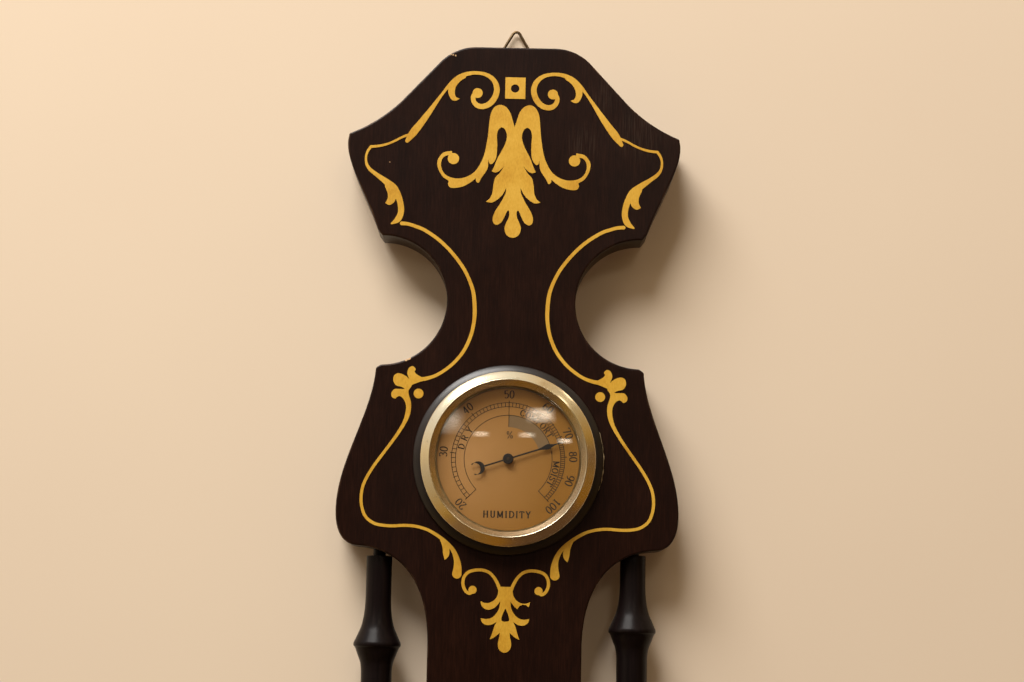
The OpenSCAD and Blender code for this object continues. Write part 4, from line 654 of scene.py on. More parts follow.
inlayPiece("InlayDrop", "inlay_drop", (
    brush([
        (13, -230, 1.6), (14.1, -231.4, 1.3), (15.8, -230.4, 1.25), (16.8, -227.9, 1.25),
        (16.5, -225.2, 1.25), (14.9, -223.2, 1.25), (12.3, -222.3, 1.2), (9.4, -222.2, 1.2),
        (6.8, -223, 1.2), (4.8, -224.8, 1.2), (3.3, -227.2, 1.3), (2.3, -229.6, 1.4)])
    + blob(13, -230, 1.6)
    + leaf([
        (-0.02, -228.6, 1), (2.2, -228.6, 1), (2.8, -230.2), (3.1, -231.9), (4.2, -233.7),
        (6.2, -234.9), (8.2, -235), (9.7, -234.4, 1), (9.3, -236.1), (7.9, -237.4),
        (6, -237.6), (3.9, -236.6), (2.0, -234.3, 1), (2.4, -237), (3.6, -239.2),
        (5.2, -240.7), (7.2, -241.3), (9.5, -241, 1), (9, -242.6), (7.3, -243.6),
        (5.2, -243.4), (3.2, -242.2, 1), (4.2, -244.2), (4.8, -246.3), (5.8, -249.2, 1),
        (4, -248.3), (1.9, -246.5, 1), (2.1, -248.2), (2.6, -250.6), (2.3, -252.7),
        (1.2, -253.9), (-0.02, -254.3, 1)])),
    [bite] + leaf([
        (0.1, -237, 1), (0.9, -238.7), (1.5, -240.4), (1.6, -241.6), (1, -242.1), (-0.8, -242.1),
        (-1.4, -241.6), (-1.3, -240.4), (-0.7, -238.7)]))
print("inlay made")


# The spindles

spindle = dict(x=50.5, out=11.5, leftTop=-217.1, rightTop=-215.1, bottom=-389.5, endR=5.1,
               midR=6.1, ridgeR=9.4, far=35.3, near=30.2, tenonR=2.5, tenon=9.5)


# Radius against distance from one end to the middle: a plain end that swells into a sharp
# ridge, then falls away to the shaft
def spindleHalf(ridge):
    s = spindle
    e, m, t = s["endR"], s["midR"], s["ridgeR"]
    rise = smoothLine([(e, ridge - 18), (e + 0.18, ridge - 14.5), (e + 0.6, ridge - 11),
                       (e + 1.4, ridge - 7.5), (e + 2.6, ridge - 4.6), (t - 0.1, ridge - 1.1)], 8)
    fall = smoothLine([(t - 0.05, ridge + 0.2), (t - 0.75, ridge + 1.1), (m + 1.65, ridge + 3.5),
                       (m + 0.5, ridge + 6.5), (m + 0.06, ridge + 9.5), (m, ridge + 12)], 8)
    tip = [(0, -s["tenon"]), (s["tenonR"], -s["tenon"]), (s["tenonR"], 0), (e - 0.35, 0),
           (e - 0.08, 0.12), (e, 0.45), (e, 6.0)]
    return np.concatenate([tip, rise, [(t, ridge - 0.5)], fall])


for name, node, side, top, lower, upper in (
        ("SpindleLeft", "left_spindle", -1, "leftTop", "near", "far"),
        ("SpindleRight", "right_spindle", 1, "rightTop", "far", "near")):
    profile = np.concatenate([spindleHalf(spindle[lower]) + [0, spindle["bottom"]],
                              spindleHalf(spindle[upper])[::-1] * [1, -1] + [0, spindle[top]]])
    part = turnedUpright(profile, side * spindle["x"], spindle["out"])
    makePiece(name, [part], "ebonised_wood", (node,), sharp=40)
print("spindles made")


# The hanger's wire ring: straight sides joined by round bends, carried with a round section

ring = dict(side=22.0, bend=1.6, wire=1.2, nail=2.5, slack=0.05, out=1.25)


def makeRing():
    r = ring
    crown = r["nail"] / 2 + r["slack"] + r["wire"] / 2
    apex = crown - r["bend"] + r["bend"] / math.sin(math.radians(30))
    middle = apex - r["side"] / math.sqrt(3)
    corner = r["side"] / math.sqrt(3) - 2 * r["bend"]
    loop = []
    for k in range(3):
        away = math.radians(90 - 120 * k)
        centre = (corner * math.cos(away), middle + corner * math.sin(away))
        loop.append(arc(centre, r["bend"], 150 - 120 * k, 30 - 120 * k, 12))
    path = evenly(np.concatenate(loop), 0.4)
    part = carried(path, circle((0, 0), r["wire"] / 2, 20), r["out"])
    makePiece("HangerRing", [part], "polished_brass", ("hanger_ring",), "hanger_ring", ringWire)


makeRing()
print("hanger ring made")


# Strokes for the printing: each letter stands on a height of 1. Serifs are (left, right, height),
# straights are the ends of a line, rounds are (middle, height, half width, half height).

serifs = {
    "A": [(-.04, .18, 0), (.56, .80, 0)], "B": [(.02, .3, 0), (.02, .3, 1)],
    "D": [(.02, .3, 0), (.02, .3, 1)], "E": [(.02, .62, 0), (.02, .60, 1), (.14, .44, .52)],
    "F": [(.02, .28, 0), (.02, .58, 1), (.14, .42, .52)],
    "H": [(.02, .26, 0), (.02, .26, 1), (.56, .80, 0), (.56, .80, 1), (.14, .68, .5)],
    "I": [(.02, .28, 0), (.02, .28, 1)],
    "M": [(.0, .24, 0), (.70, .96, 0), (.02, .16, 1), (.80, .94, 1)],
    "N": [(.0, .24, 0), (.0, .14, 1), (.58, .82, 1)],
    "R": [(.02, .26, 0), (.02, .3, 1), (.58, .76, 0)], "T": [(.22, .46, 0), (.02, .66, 1)],
    "U": [(.02, .26, 1), (.54, .76, 1)], "V": [(-.04, .18, 1), (.56, .78, 1)],
    "Y": [(-.04, .18, 1), (.54, .76, 1), (.24, .48, 0)], "1": [(.14, .46, 0)],
    "2": [(.06, .52, 0)], "4": [(.04, .56, .28), (.28, .52, 0)], "5": [(.14, .50, 1)],
    "7": [(.06, .54, 1)], "-": [(.06, .42, .42)],
}
straights = {
    "A": [(.08, 0, .38, 1), (.38, 1, .70, 0), (.19, .34, .56, .34)], "B": [(.14, 0, .14, 1)],
    "C": [(.66, 1, .66, .72)], "D": [(.14, 0, .14, 1)],
    "E": [(.14, 0, .14, 1), (.6, 1, .6, .8), (.62, 0, .62, .22), (.44, .62, .44, .42)],
    "F": [(.14, 0, .14, 1), (.58, 1, .58, .78), (.42, .62, .42, .42)],
    "G": [(.66, 1, .66, .72), (.68, .06, .68, .42), (.54, .42, .80, .42)],
    "H": [(.14, 0, .14, 1), (.68, 0, .68, 1)], "I": [(.15, 0, .15, 1)],
    "M": [(.13, 0, .13, 1), (.83, 0, .83, 1), (.13, 1, .48, .08), (.48, .08, .83, 1)],
    "N": [(.13, 0, .13, 1), (.70, 0, .70, 1), (.13, 1, .70, 0)],
    "R": [(.14, 0, .14, 1), (.38, .5, .66, 0)], "S": [(.52, 1, .52, .76), (.08, 0, .08, .25)],
    "T": [(.34, 0, .34, 1), (.02, 1, .02, .78), (.66, 1, .66, .78)],
    "U": [(.14, 1, .14, .3), (.65, .3, .65, 1)], "V": [(.07, 1, .37, 0), (.37, 0, .67, 1)],
    "Y": [(.07, 1, .36, .46), (.36, .46, .65, 1), (.36, .46, .36, 0)],
    "1": [(.3, 0, .3, 1), (.3, 1, .14, .82)], "2": [(.52, 0, .54, .16)],
    "4": [(.4, 0, .4, 1), (.4, 1, .04, .28)], "5": [(.14, 1, .12, .54)],
    "7": [(.54, 1, .22, 0), (.06, 1, .06, .82)], "%": [(.12, 0, .68, 1)],
}
curves = {
    "B": [[(.14, 1), (.40, .99), (.54, .88), (.54, .66), (.40, .54), (.14, .53)],
          [(.14, .53), (.44, .52), (.60, .40), (.60, .14), (.44, .01), (.14, 0)]],
    "C": [[(.66, .76), (.52, .96), (.34, .99), (.12, .8), (.06, .5), (.12, .2), (.34, .01),
           (.52, .04), (.68, .22)]],
    "D": [[(.14, 1), (.36, .99), (.62, .86), (.74, .62), (.74, .38), (.62, .14), (.36, .01),
           (.14, 0)]],
    "G": [[(.66, .76), (.52, .96), (.34, .99), (.12, .8), (.06, .5), (.12, .2), (.34, .01),
           (.52, .02), (.68, .12)]],
    "R": [[(.14, 1), (.42, .99), (.58, .87), (.58, .63), (.42, .51), (.14, .5)]],
    "S": [[(.52, .80), (.42, .97), (.22, .98), (.10, .82), (.14, .65), (.32, .52), (.50, .38),
           (.54, .18), (.42, .02), (.22, .02), (.08, .22)]],
    "U": [[(.14, .32), (.19, .1), (.38, .0), (.59, .1), (.65, .32)]],
    "2": [[(.08, .76), (.14, .94), (.3, 1), (.47, .92), (.5, .74), (.42, .52), (.24, .28),
           (.06, .02)]],
    "3": [[(.08, .84), (.2, .98), (.38, .97), (.48, .8), (.42, .6), (.24, .53)],
          [(.24, .53), (.46, .46), (.54, .26), (.44, .06), (.24, 0), (.08, .12)]],
    "5": [[(.12, .54), (.3, .62), (.48, .52), (.53, .3), (.44, .08), (.24, 0), (.08, .1)]],
    "6": [[(.06, .32), (.10, .62), (.24, .88), (.46, 1)]],
    "9": [[(.54, .68), (.50, .38), (.36, .12), (.14, 0)]],
}
rounds = {
    "O": [(.38, .5, .33, .5)], "0": [(.3, .5, .24, .5)], "o": [(.2, .84, .14, .14)],
    "8": [(.3, .76, .18, .23), (.3, .27, .23, .27)], "6": [(.3, .3, .24, .3)],
    "9": [(.3, .7, .24, .3)], "%": [(.16, .76, .12, .2), (.64, .24, .12, .2)],
}
advances = dict(A=.84, B=.74, C=.80, D=.86, E=.74, F=.70, G=.90, H=.90, I=.38, M=1.04, N=.90, O=.84,
                R=.82, S=.68, T=.76, U=.86, V=.82, Y=.80, o=.42)


# The lines of a word, centred on x = 0 with its foot on y = 0
def wordLines(text, height, spacing):
    lines, x = [], 0.0
    for letter in text:
        found = [np.array([(a, y), (b, y)]) for a, b, y in serifs.get(letter, [])]
        found += [np.array([(a, b), (c, d)]) for a, b, c, d in straights.get(letter, [])]
        found += [smoothLine(c, 4) for c in curves.get(letter, [])]
        for cx, cy, rx, ry in rounds.get(letter, []):
            found.append(arc((0, 0), 1, 90, 450, 24) * [rx, ry] + [cx, cy])
        lines += [f + [x, 0] for f in found]
        x += advances.get(letter, .62 if letter != " " else .4) + spacing
    return [(l - [(x - spacing) / 2, 0]) * height for l in lines]


# A thin raised strip between a left and a right edge
def ribbon(left, right, low, high):
    edges = ((left, high), (right, high), (right, low), (left, low), (left, high))
    rows = np.stack([place(edge[:, 0], edge[:, 1], out) for edge, out in edges], axis=1)
    end = (len(left) - 1) * 5
    faces = gridQuads(len(left), 5).tolist() + [[0, 1, 2, 3], [end, end + 1, end + 2, end + 3]]
    return rows.reshape(-1, 3), faces, None, False


inkDepth = 0.03


# A printed word. ink is (height, spacing, thick, thin): strokes are thick where they run up and
# down and thin where they run across. move takes points drawn upright to where they belong.
def printed(text, ink, low, move):
    height, spacing, thick, thin = ink
    parts = []
    for line in wordLines(text, height, spacing):
        step = np.gradient(line, axis=0)
        upright = np.abs(step[:, 1]) / np.maximum(np.linalg.norm(step, axis=1), 1e-9)
        across = sideways(line) * (thin + (thick - thin) * upright)[:, None] / 2
        parts.append(ribbon(move(line + across), move(line - across), low, low + inkDepth))
    return parts


# The foot of the letters lies on a circle of the given radius and their middle at an angle
# clockwise from the top
def onCircle(centre, radius, angle):
    def move(p):
        a = math.radians(angle) + p[:, 0] / radius
        r = radius + p[:, 1]
        return np.stack([centre[0] + r * np.sin(a), centre[1] + r * np.cos(a)], axis=-1)
    return move


def moved(x, y):
    return lambda p: p + [x, y]


def arcStrip(centre, radius, width, start, end, low, high):
    steps = max(int(abs(end - start) / 2), 2)
    outer, inner = (arc((0, 0), r, 90 - start, 90 - end, steps) + centre
                    for r in (radius + width / 2, radius - width / 2))
    return ribbon(outer, inner, low, high)


def tick(centre, angle, inner, outer, width, low, high):
    a = math.radians(angle)
    along = np.array([math.sin(a), math.cos(a)])
    across = np.array([along[1], -along[0]]) * width / 2
    ends = np.array([along * inner, along * outer]) + centre
    return ribbon(ends - across, ends + across, low, high)


# The round instruments: each has a black ring, a brass bezel, a domed glass, a printed dial and
# hands. Its arcs are the radii of the track's two edges and of the inner line. Ticks are (reach
# past the track, width) for tens, fives and ones, marks are (angle, inner end, outer end, width),
# words are (text, ink, radius, angle) and level words are (text, ink, right, up) of the middle.

hygro = dict(
    name="Hygrometer", y=-178.5, dialTop=24.0,
    ring=dict(bore=boardSizes["hygroBore"], outer=37.75, high=23.5, slope=3.2),
    bezel=dict(outer=34.7, crestR=31.1, open=28.9, flange=33.7, glass=30.0, low=23.5, skirt=27.4,
               crest=30.0, under=27.1, step=25.4),
    glass=dict(r=29.9, domeR=29.2, rise=4.2, thick=1.5, seat=25.5),
    values=(20, 30, 40, 50, 60, 70, 80, 90, 100),
    angles=(-134.5, -84.5, -39.5, 0, 37, 66, 87, 108.5, 135.5),
    arcs=(20.7, 22.3, 17.3), arcWidth=0.24, ticks=((0.8, 0.30), (0.35, 0.25), (0, 0.25)),
    marks=((-134.5, 17.3, 23.0, 0.26), (135.5, 17.3, 23.0, 0.26), (0, 12.7, 23.1, 0.24)),
    numbers=(3.0, 0.06, 0.46, 0.24), numbersR=24.1,
    words=(("DRY", (2.35, 0.62, 0.44, 0.24), 17.85, -65),
           ("COMFORT", (2.35, 0.10, 0.44, 0.24), 17.85, 38),
           ("MOIST", (2.35, 0.10, 0.44, 0.24), 17.85, 107)),
    level=(("%", (2.9, 0.06, 0.32, 0.2), 0.2, 8.1), ("HUMIDITY", (2.5, 0.22, 0.52, 0.28), 0, -23)),
    hands=(dict(name="HygrometerHand", node="hygrometer_hand", slot="black_enamel", angle=72.0,
                reach=24.5, leafFrom=12.6, leafW=2.0, shaftW=0.62, low=25.1, high=25.4, soft=0.06,
                bore=0.6, hub=2.1, hubTop=25.9, hubSoft=0.25, tail=10.0, crescent=2.6),),
)
baro = dict(
    name="Barometer", y=-472.0, dialTop=24.0,
    ring=dict(bore=boardSizes["baroBore"], outer=68.0, high=24.5, slope=4.6),
    bezel=dict(outer=63.5, crestR=57.8, open=53.7, flange=61.6, glass=56.3, low=24.5, skirt=29.6,
               crest=33.0, under=29.6, step=26.7),
    glass=dict(r=56.2, domeR=54.4, rise=4.0, thick=2.0, seat=27.5, hole=1.35),
    values=(960, 1060), angles=(-135, 135),
    arcs=(44.6, 46.6, 35.4), arcWidth=0.2, ticks=((1.6, 0.34), (0.9, 0.18), (0, 0.18)), marks=(),
    numbers=(3.2, 0.08, 0.42, 0.18), numbersR=39.4,
    words=[(word, (3.4, 0.16, 0.55, 0.20), 30.0, at) for word, at in (
        ("STORM", -112), ("RAIN", -58), ("CHANGE", 0), ("FAIR", 58), ("VERY DRY", 112))],
    level=(("BAROMETER", (3.2, 0.2, 0.5, 0.18), 0, -27),),
    hands=(dict(name="BarometerHand", node="barometer_hand", slot="blued_steel", angle=8.0,
                reach=45.0, leafFrom=27, leafW=3.4, shaftW=1.1, low=25.9, high=26.4, soft=0.1,
                bore=0.75, hub=3.2, hubTop=27.0, hubSoft=0.3, tail=16.0, crescent=4.0),
           dict(name="SetHand", node="set_hand", slot="polished_brass", angle=-20.0,
                reach=43.0, leafFrom=34, leafW=2.0, shaftW=1.0, low=28.0, high=28.5, soft=0.1,
                bore=1.25, hub=3.0, hubTop=29.0, hubSoft=0.3, tail=12.0, crescent=2.6)),
    knob=dict(r=5.5, low=33.7, high=40.5, flutes=24, fluteDepth=0.3),
)


def blackRing(d):
    bore, outer, high, slope = (d["ring"][size] for size in ("bore", "outer", "high", "slope"))
    low = boardSizes["face"]
    rim = low + 0.42 * (high - low)
    profile = np.concatenate([
        [(bore, low), (outer - 0.15, low), (outer, low + 0.2)],
        bezier((outer, rim - 0.3), (outer, rim + 0.05), (outer - 0.1, rim + 0.25),
               (outer - 0.35, rim + 0.45), 6),
        bezier((outer - 0.45, rim + 0.52), (outer - slope * 0.5, high - 0.45),
               (outer - slope * 0.8, high - 0.12), (outer - slope, high), 8),
        [(outer - slope - 0.6, high), (bore + 0.3, high), (bore, high - 0.3)]])
    makePiece(d["name"] + "Ring", [turned(profile, d["y"], 200)], "ebonised_wood",
              (d["name"].lower() + "_surround",), material=ringBlack, sharp=30)


# The bezel's section: an upright skirt, a flat slope up to a narrow crest, and a steep slope
# down to the glass
def brassBezel(d):
    b = d["bezel"]
    skirt, crest, r, c, o = (b[size] for size in ("skirt", "crest", "outer", "crestR", "open"))
    lip = max(b["under"] + 0.25, crest - 0.2 - 1.45 * (c - o - 0.4))
    profile = np.concatenate([
        [(b["flange"], b["low"]), (r - 0.12, b["low"]), (r, b["low"] + 0.12)],
        bezier((r, skirt - 0.5), (r, skirt - 0.15), (r - 0.04, skirt), (r - 0.2, skirt + 0.15), 6),
        bezier((r - 0.3, skirt + 0.24), (r - 0.9, skirt + 0.78), (c + 0.9, crest - 0.72),
               (c + 0.3, crest - 0.2), 10),
        bezier((c + 0.2, crest - 0.12), (c + 0.1, crest), (c - 0.1, crest), (c - 0.2, crest - 0.12), 6),
        [(c - 0.28, crest - 0.2), (o + 0.12, lip), (o, lip - 0.12), (o, b["under"]),
         (b["glass"], b["under"]), (b["glass"], b["step"]), (b["flange"], b["step"])]])
    makePiece(d["name"] + "Bezel", [turned(profile, d["y"], 220)], "polished_brass",
              (d["name"].lower() + "_bezel",), material=bezelBrass, sharp=34)


# A glass with a flat seat and a low dome. Each face of the dome is part of a ball:
# out = top of the ball * cos(reach), radius = ball * sin(reach)
def domedGlass(d):
    g = d["glass"]
    rise, domeR, thick, seat = g["rise"], g["domeR"], g["thick"], g["seat"]
    ball = (domeR**2 + rise**2) / (2 * rise)
    reach = np.linspace(0, math.asin(domeR / ball), 36)
    face = np.stack([ball * np.sin(reach), rise - ball + ball * np.cos(reach)], axis=-1)
    if "hole" in g:
        start = (g["hole"], np.interp(g["hole"], face[:, 0], face[:, 1]))
        face = np.concatenate([[start], face[face[:, 0] > g["hole"]]])
    profile = np.concatenate([
        [(g["r"], seat + 0.1), (g["r"], seat + thick - 0.1), (g["r"] - 0.1, seat + thick)],
        face[::-1] + [0, seat + thick], face + [0, seat], [(g["r"] - 0.1, seat)]])
    piece = makePiece(d["name"] + "Glass", [turned(profile, d["y"], 180)], "clear_glass",
                      (d["name"].lower() + "_glass",), sharp=30)
    piece.visible_shadow = False  # lamps reach the dial
    piece.visible_diffuse = False
    domes.append(piece)


def dialPrint(d):
    centre = np.array([0.0, d["y"]])
    low, high = d["dialTop"] - 0.01, d["dialTop"] + 0.03
    values, angles = d["values"], d["angles"]
    parts = [arcStrip(centre, r, d["arcWidth"], angles[0], angles[-1], low, high)
             for r in d["arcs"]]
    for value in range(values[0], values[-1] + 1):
        angle = float(np.interp(value, values, angles))
        rank = 0 if value % 10 == 0 else 1 if value % 5 == 0 else 2
        reach, width = d["ticks"][rank]
        parts.append(tick(centre, angle, d["arcs"][0], d["arcs"][1] + reach, width, low, high))
        if rank == 0:
            parts += printed(str(value), d["numbers"], low, onCircle(centre, d["numbersR"], angle))
    for angle, inner, outer, width in d["marks"]:
        parts.append(tick(centre, angle, inner, outer, width, low, high))
    for text, ink, radius, angle in d["words"]:
        parts += printed(text, ink, low, onCircle(centre, radius, angle))
    for text, ink, right, up in d["level"]:
        parts += printed(text, ink, low, moved(right, d["y"] + up))
    makePiece(d["name"] + "Print", parts, "black_enamel")


# A hand drawn pointing up and then turned: a thin shaft that swells into a slim leaf near its
# tip, a crescent on its tail and a hub with a softened rim
def makeHand(h, y):
    leaf, wide, thin, crescent = h["leafFrom"], h["leafW"], h["shaftW"] / 2, h["crescent"]
    long, tail = h["reach"] * 0.22, -h["tail"]
    half = np.concatenate([
        [(thin, tail + 0.2), (thin, leaf)],
        bezier((thin, leaf), (wide * 0.25, leaf + long * 0.45), (wide * 0.78, leaf + long * 0.62),
               (wide * 0.36, leaf + long * 0.92), 12),
        bezier((wide * 0.34, leaf + long * 0.95), (wide * 0.2, leaf + long * 1.1),
               (wide * 0.14, leaf + long * 1.2), (wide * 0.12, leaf + long * 1.35), 6),
        [(0.07, h["reach"])]])
    horns = arc((0, tail - crescent + 0.3), crescent, 80, -48, 20)
    hollow = arc((0, tail - crescent * 1.42), crescent * 0.9, -18, 90, 14)
    right = np.concatenate([half[::-1], horns, hollow])
    loop = np.concatenate([right, right[-2::-1] * [-1, 1]])
    a = math.radians(h["angle"])
    loop = np.stack([loop[:, 0] * math.cos(a) + loop[:, 1] * math.sin(a),
                     y - loop[:, 0] * math.sin(a) + loop[:, 1] * math.cos(a)], axis=-1)
    bore, hub, low, top, soft = h["bore"], h["hub"], h["low"], h["hubTop"], h["hubSoft"]
    profile = [(bore, low), (hub - 0.1, low), (hub, low + 0.1), (hub, top - soft),
               (hub - soft, top), (bore, top)]
    parts = plate(loop, low, h["high"], h["soft"]) + [turned(profile, y, 48)]
    makePiece(h["name"], parts, h["slot"], (h["node"],), h["node"])


# The knob's rim is fluted: radius = r - depth * (1 - cos(flutes * turn)) / 2
def makeKnob():
    k, y = baro["knob"], baro["y"]
    low, high, r = k["low"], k["high"], k["r"]
    profile = np.concatenate([
        [(0, low), (2.4, low), (2.6, low + 0.2), (2.6, low + 0.9), (r - 0.8, low + 1.3)],
        [(r - 0.2, low + 1.9), (r, low + 2.4), (r, high - 1.2)],
        bezier((r - 0.1, high - 0.9), (r - 0.4, high - 0.4), (r - 1.0, high - 0.1),
               (r - 1.8, high - 0.05), 6),
        [(r - 2.2, high - 0.35), (1.4, high - 0.45), (0, high - 0.5)]])
    turn = np.linspace(0, 2 * np.pi, 241)[:, None]
    depth = np.clip((profile[:, 0] - (r - 0.5)) / 0.5, 0, 1) * k["fluteDepth"]
    radius = profile[:, 0] - depth * (1 - np.cos(k["flutes"] * turn)) / 2
    points = place(radius * np.sin(turn), y + radius * np.cos(turn), profile[:, 1])
    uv = np.stack(np.broadcast_arrays(turn / (2 * np.pi), np.arange(len(profile)) / 3), axis=-1)
    head = (points.reshape(-1, 3), gridQuads(*points.shape[:2]), uv.reshape(-1, 2), True)
    stem = turned([(0, 28.0), (1.25, 28.0), (1.25, 34.2), (0, 34.2)], y, 32, closed=False)
    collar = turned([(1.25, 30.65), (2.45, 30.65), (2.45, 31.2), (1.25, 31.2)], y, 32)
    makePiece("SetKnob", [head, stem, collar], "polished_brass", ("set_knob",), "set_hand",
              bezelBrass, sharp=30)


# A dried bead of glue along the hygrometer ring's right side. Its width and height swell and
# shrink as the sum of three sines of the way along it.
def glueBead():
    t = np.linspace(0, 1, 70)
    swell = (0.55 + 0.25 * np.sin(19 * t) + 0.2 * np.sin(47 * t + 1)) * np.sin(np.pi * t) ** 0.4
    angle = np.radians(72 + 36 * t)
    r = hygro["ring"]["outer"] + 0.12 + 0.10 * np.sin(31 * t + 0.5)
    path = np.stack([r * np.sin(angle), hygro["y"] + r * np.cos(angle)], axis=-1)
    across = sideways(path)
    turn = np.linspace(0, 2 * np.pi, 9)
    side = 0.34 * swell[:, None] * np.cos(turn)
    up = 0.30 * swell[:, None] * np.sin(turn)
    points = place(path[:, :1] + across[:, :1] * side, path[:, 1:] + across[:, 1:] * side,
                   boardSizes["face"] + 0.25 + up)
    rows, columns = points.shape[:2]
    end = (rows - 1) * columns
    faces = gridQuads(rows, columns).tolist()
    faces += [list(range(columns - 1)), [end + k for k in range(columns - 1)]]
    makePiece("GlueBead", [(points.reshape(-1, 3), faces, None, True)], "lacquered_wood",
              material=paintedPlate("driedGlue", (0.62, 0.50, 0.32), (0.36, 0.26, 0.14), 0.0, 0.35))


# The grey band of comfort inside the hygrometer's inner arc
def comfortBand():
    inner, outer, top = 12.6, hygro["arcs"][2], hygro["dialTop"]
    band = arcStrip(np.array([0.0, hygro["y"]]), (inner + outer) / 2, outer - inner, 0, 71.5,
                    top - 0.01, top + 0.012)
    makePiece("ComfortBand", [band], "black_enamel", material=paintedPlate(
        "greyInk", (0.240, 0.150, 0.066), (0.205, 0.128, 0.055), 0.1, 0.45))


domes = []
for instrument in (hygro, baro):
    blackRing(instrument)
    brassBezel(instrument)
    domedGlass(instrument)
    dialPrint(instrument)
    for hand in instrument["hands"]:
        makeHand(hand, instrument["y"])
glueBead()
comfortBand()
makeKnob()
print("hygrometer and barometer made")


# The thermometer

thermo = dict(face=21.7, tubeR=2.5, bulbR=3.5, bulbY=-355.5, tubeTop=-277.5, out=24.2, boreR=0.6,
              wall=0.8, play=0.05, spirit=47.5, zero=-334.4, degree=1.16, lowest=-20, highest=40,
              lineX=4.0, numberX=9.9, ink=(1.9, 0.06, 0.24, 0.11))


def makeThermometer():
    t = thermo
    bulb, tubeR, middle, top = t["bulbR"], t["tubeR"], t["bulbY"], t["tubeTop"]
    ball = arc((0, middle), bulb, -90, 28, 24)
    neck = bezier(ball[-1], (tubeR + 0.22, middle + 2.4), (tubeR, middle + 2.8),
                  (tubeR, middle + 3.6), 8)
    end = arc((0, 0), 1, 0, 90, 8) * [tubeR, 1.6] + [0, top - 1.6]
    outside = np.concatenate([ball, neck[1:], end])
    inside, bore = bulb - t["wall"] - t["play"], t["boreR"] - t["play"]
    lift = math.degrees(math.acos(bore / inside))
    spirit = np.concatenate([arc((0, middle), inside, -90, lift, 20),
                             [(bore, middle + t["spirit"] - 0.2), (0, middle + t["spirit"])]])
    for profile in (outside, spirit):
        profile[:, 0] = np.maximum(profile[:, 0], 0)
    glass = makePiece("ThermometerTube", [turnedUpright(outside, 0, t["out"], 48)], "clear_glass",
                      ("thermometer_tube",), material=clearGlass("tubeGlass", 1.22))
    glass.visible_shadow = False
    glass.visible_diffuse = False
    makePiece("ThermometerSpirit", [turnedUpright(spirit, 0, t["out"], 32)], "red_spirit",
              ("thermometer_spirit",))


# Degrees on both sides of the tube. On the right every second one has its line.
def thermometerPrint():
    t = thermo
    low, high = t["face"] - 0.01, t["face"] + 0.03
    lowest, highest = (t["zero"] + t[end] * t["degree"] for end in ("lowest", "highest"))
    parts = []
    for side in (-1, 1):
        line = np.array([(side * t["lineX"], lowest), (side * t["lineX"], highest)])
        parts.append(ribbon(line - [0.06, 0], line + [0.06, 0], low, high))
        parts += printed("oC", t["ink"], low, moved(side * t["numberX"], highest + 3.2))
        for degree in range(t["lowest"], t["highest"] + 1):
            y = t["zero"] + degree * t["degree"]
            reach = 3.2 if degree % 10 == 0 else 2.4 if degree % 5 == 0 else 1.6
            line = np.array([(side * t["lineX"], y), (side * (t["lineX"] + reach), y)])
            if side < 0 or degree % 2 == 0:
                parts.append(ribbon(line + [0, 0.07], line - [0, 0.07], low, high))
            if degree % 10 == 0:
                parts += printed(str(degree), t["ink"], low, moved(side * t["numberX"], y - 0.95))
    makePiece("ThermometerPrint", parts, "black_enamel")


makeThermometer()
thermometerPrint()
print("thermometer made")


# Finishes for the pieces whose construction shape is kept

keptLooks = {
    "gilt_inlay": "inlay_belly",
    "aged_brass": ("hanger_strap hanger_screws hygrometer_bridge hygrometer_case hygrometer_screws "
                   "hygrometer_cover_screws barometer_case barometer_screws "
                   "barometer_cover_screws movement_plate lever_arm rocker_posts bridge_pillars "
                   "lower_bridge upper_bridge"),
    "polished_brass": "thermometer_clips thermometer_pins dial_screws",
    "copper_dial": "hygrometer_dial",
    "ivory_dial": "barometer_dial",
    "gold_plate": "thermometer_plate",
    "blued_steel": "hairspring",
    "bright_steel": ("hygrometer_arbor hand_arbor movement_screws mainspring lever_link rocker "
                     "chain adjusting_screw"),
    "coil_strip": "hygrometer_coil",
    "nickel_silver": "aneroid_capsule",
    "black_board": "hygrometer_cover barometer_cover",
}
for slotName, names in keptLooks.items():
    for nodeName in names.split():
        mesh = nodes[nodeName].data
        mesh.materials.clear()
        mesh.materials.append(looks[slotName])
nodes["hygrometer_arbor"].data.materials[0] = darkSteel
print("construction pieces finished")


# Camera, light and backdrop

view = dict(focal=2150.0, wide=1024, sensor=36.0, place=(0.627, -872.338, -249.027), pitch=7.9,
            roll=1.12)


def makeCamera():
    pitch, roll = math.radians(view["pitch"]), math.radians(view["roll"])
    ahead = Vector((0, math.cos(pitch), math.sin(pitch)))
    right = Vector((1, 0, 0))
    up = right.cross(ahead)
    x = right * math.cos(roll) + up * math.sin(roll)
    y = up * math.cos(roll) - right * math.sin(roll)
    data = bpy.data.cameras.new("Camera")
    data.sensor_fit = "HORIZONTAL"
    data.sensor_width = view["sensor"]
    data.lens = view["sensor"] * view["focal"] / view["wide"]
    data.clip_start = 0.01
    camera = bpy.data.objects.new("Camera", data)
    bpy.context.scene.collection.objects.link(camera)
    turn = Matrix((x, y, -ahead)).transposed().to_4x4()
    camera.matrix_world = Matrix.Translation(Vector(view["place"]) / 1000) @ turn
    bpy.context.scene.camera = camera


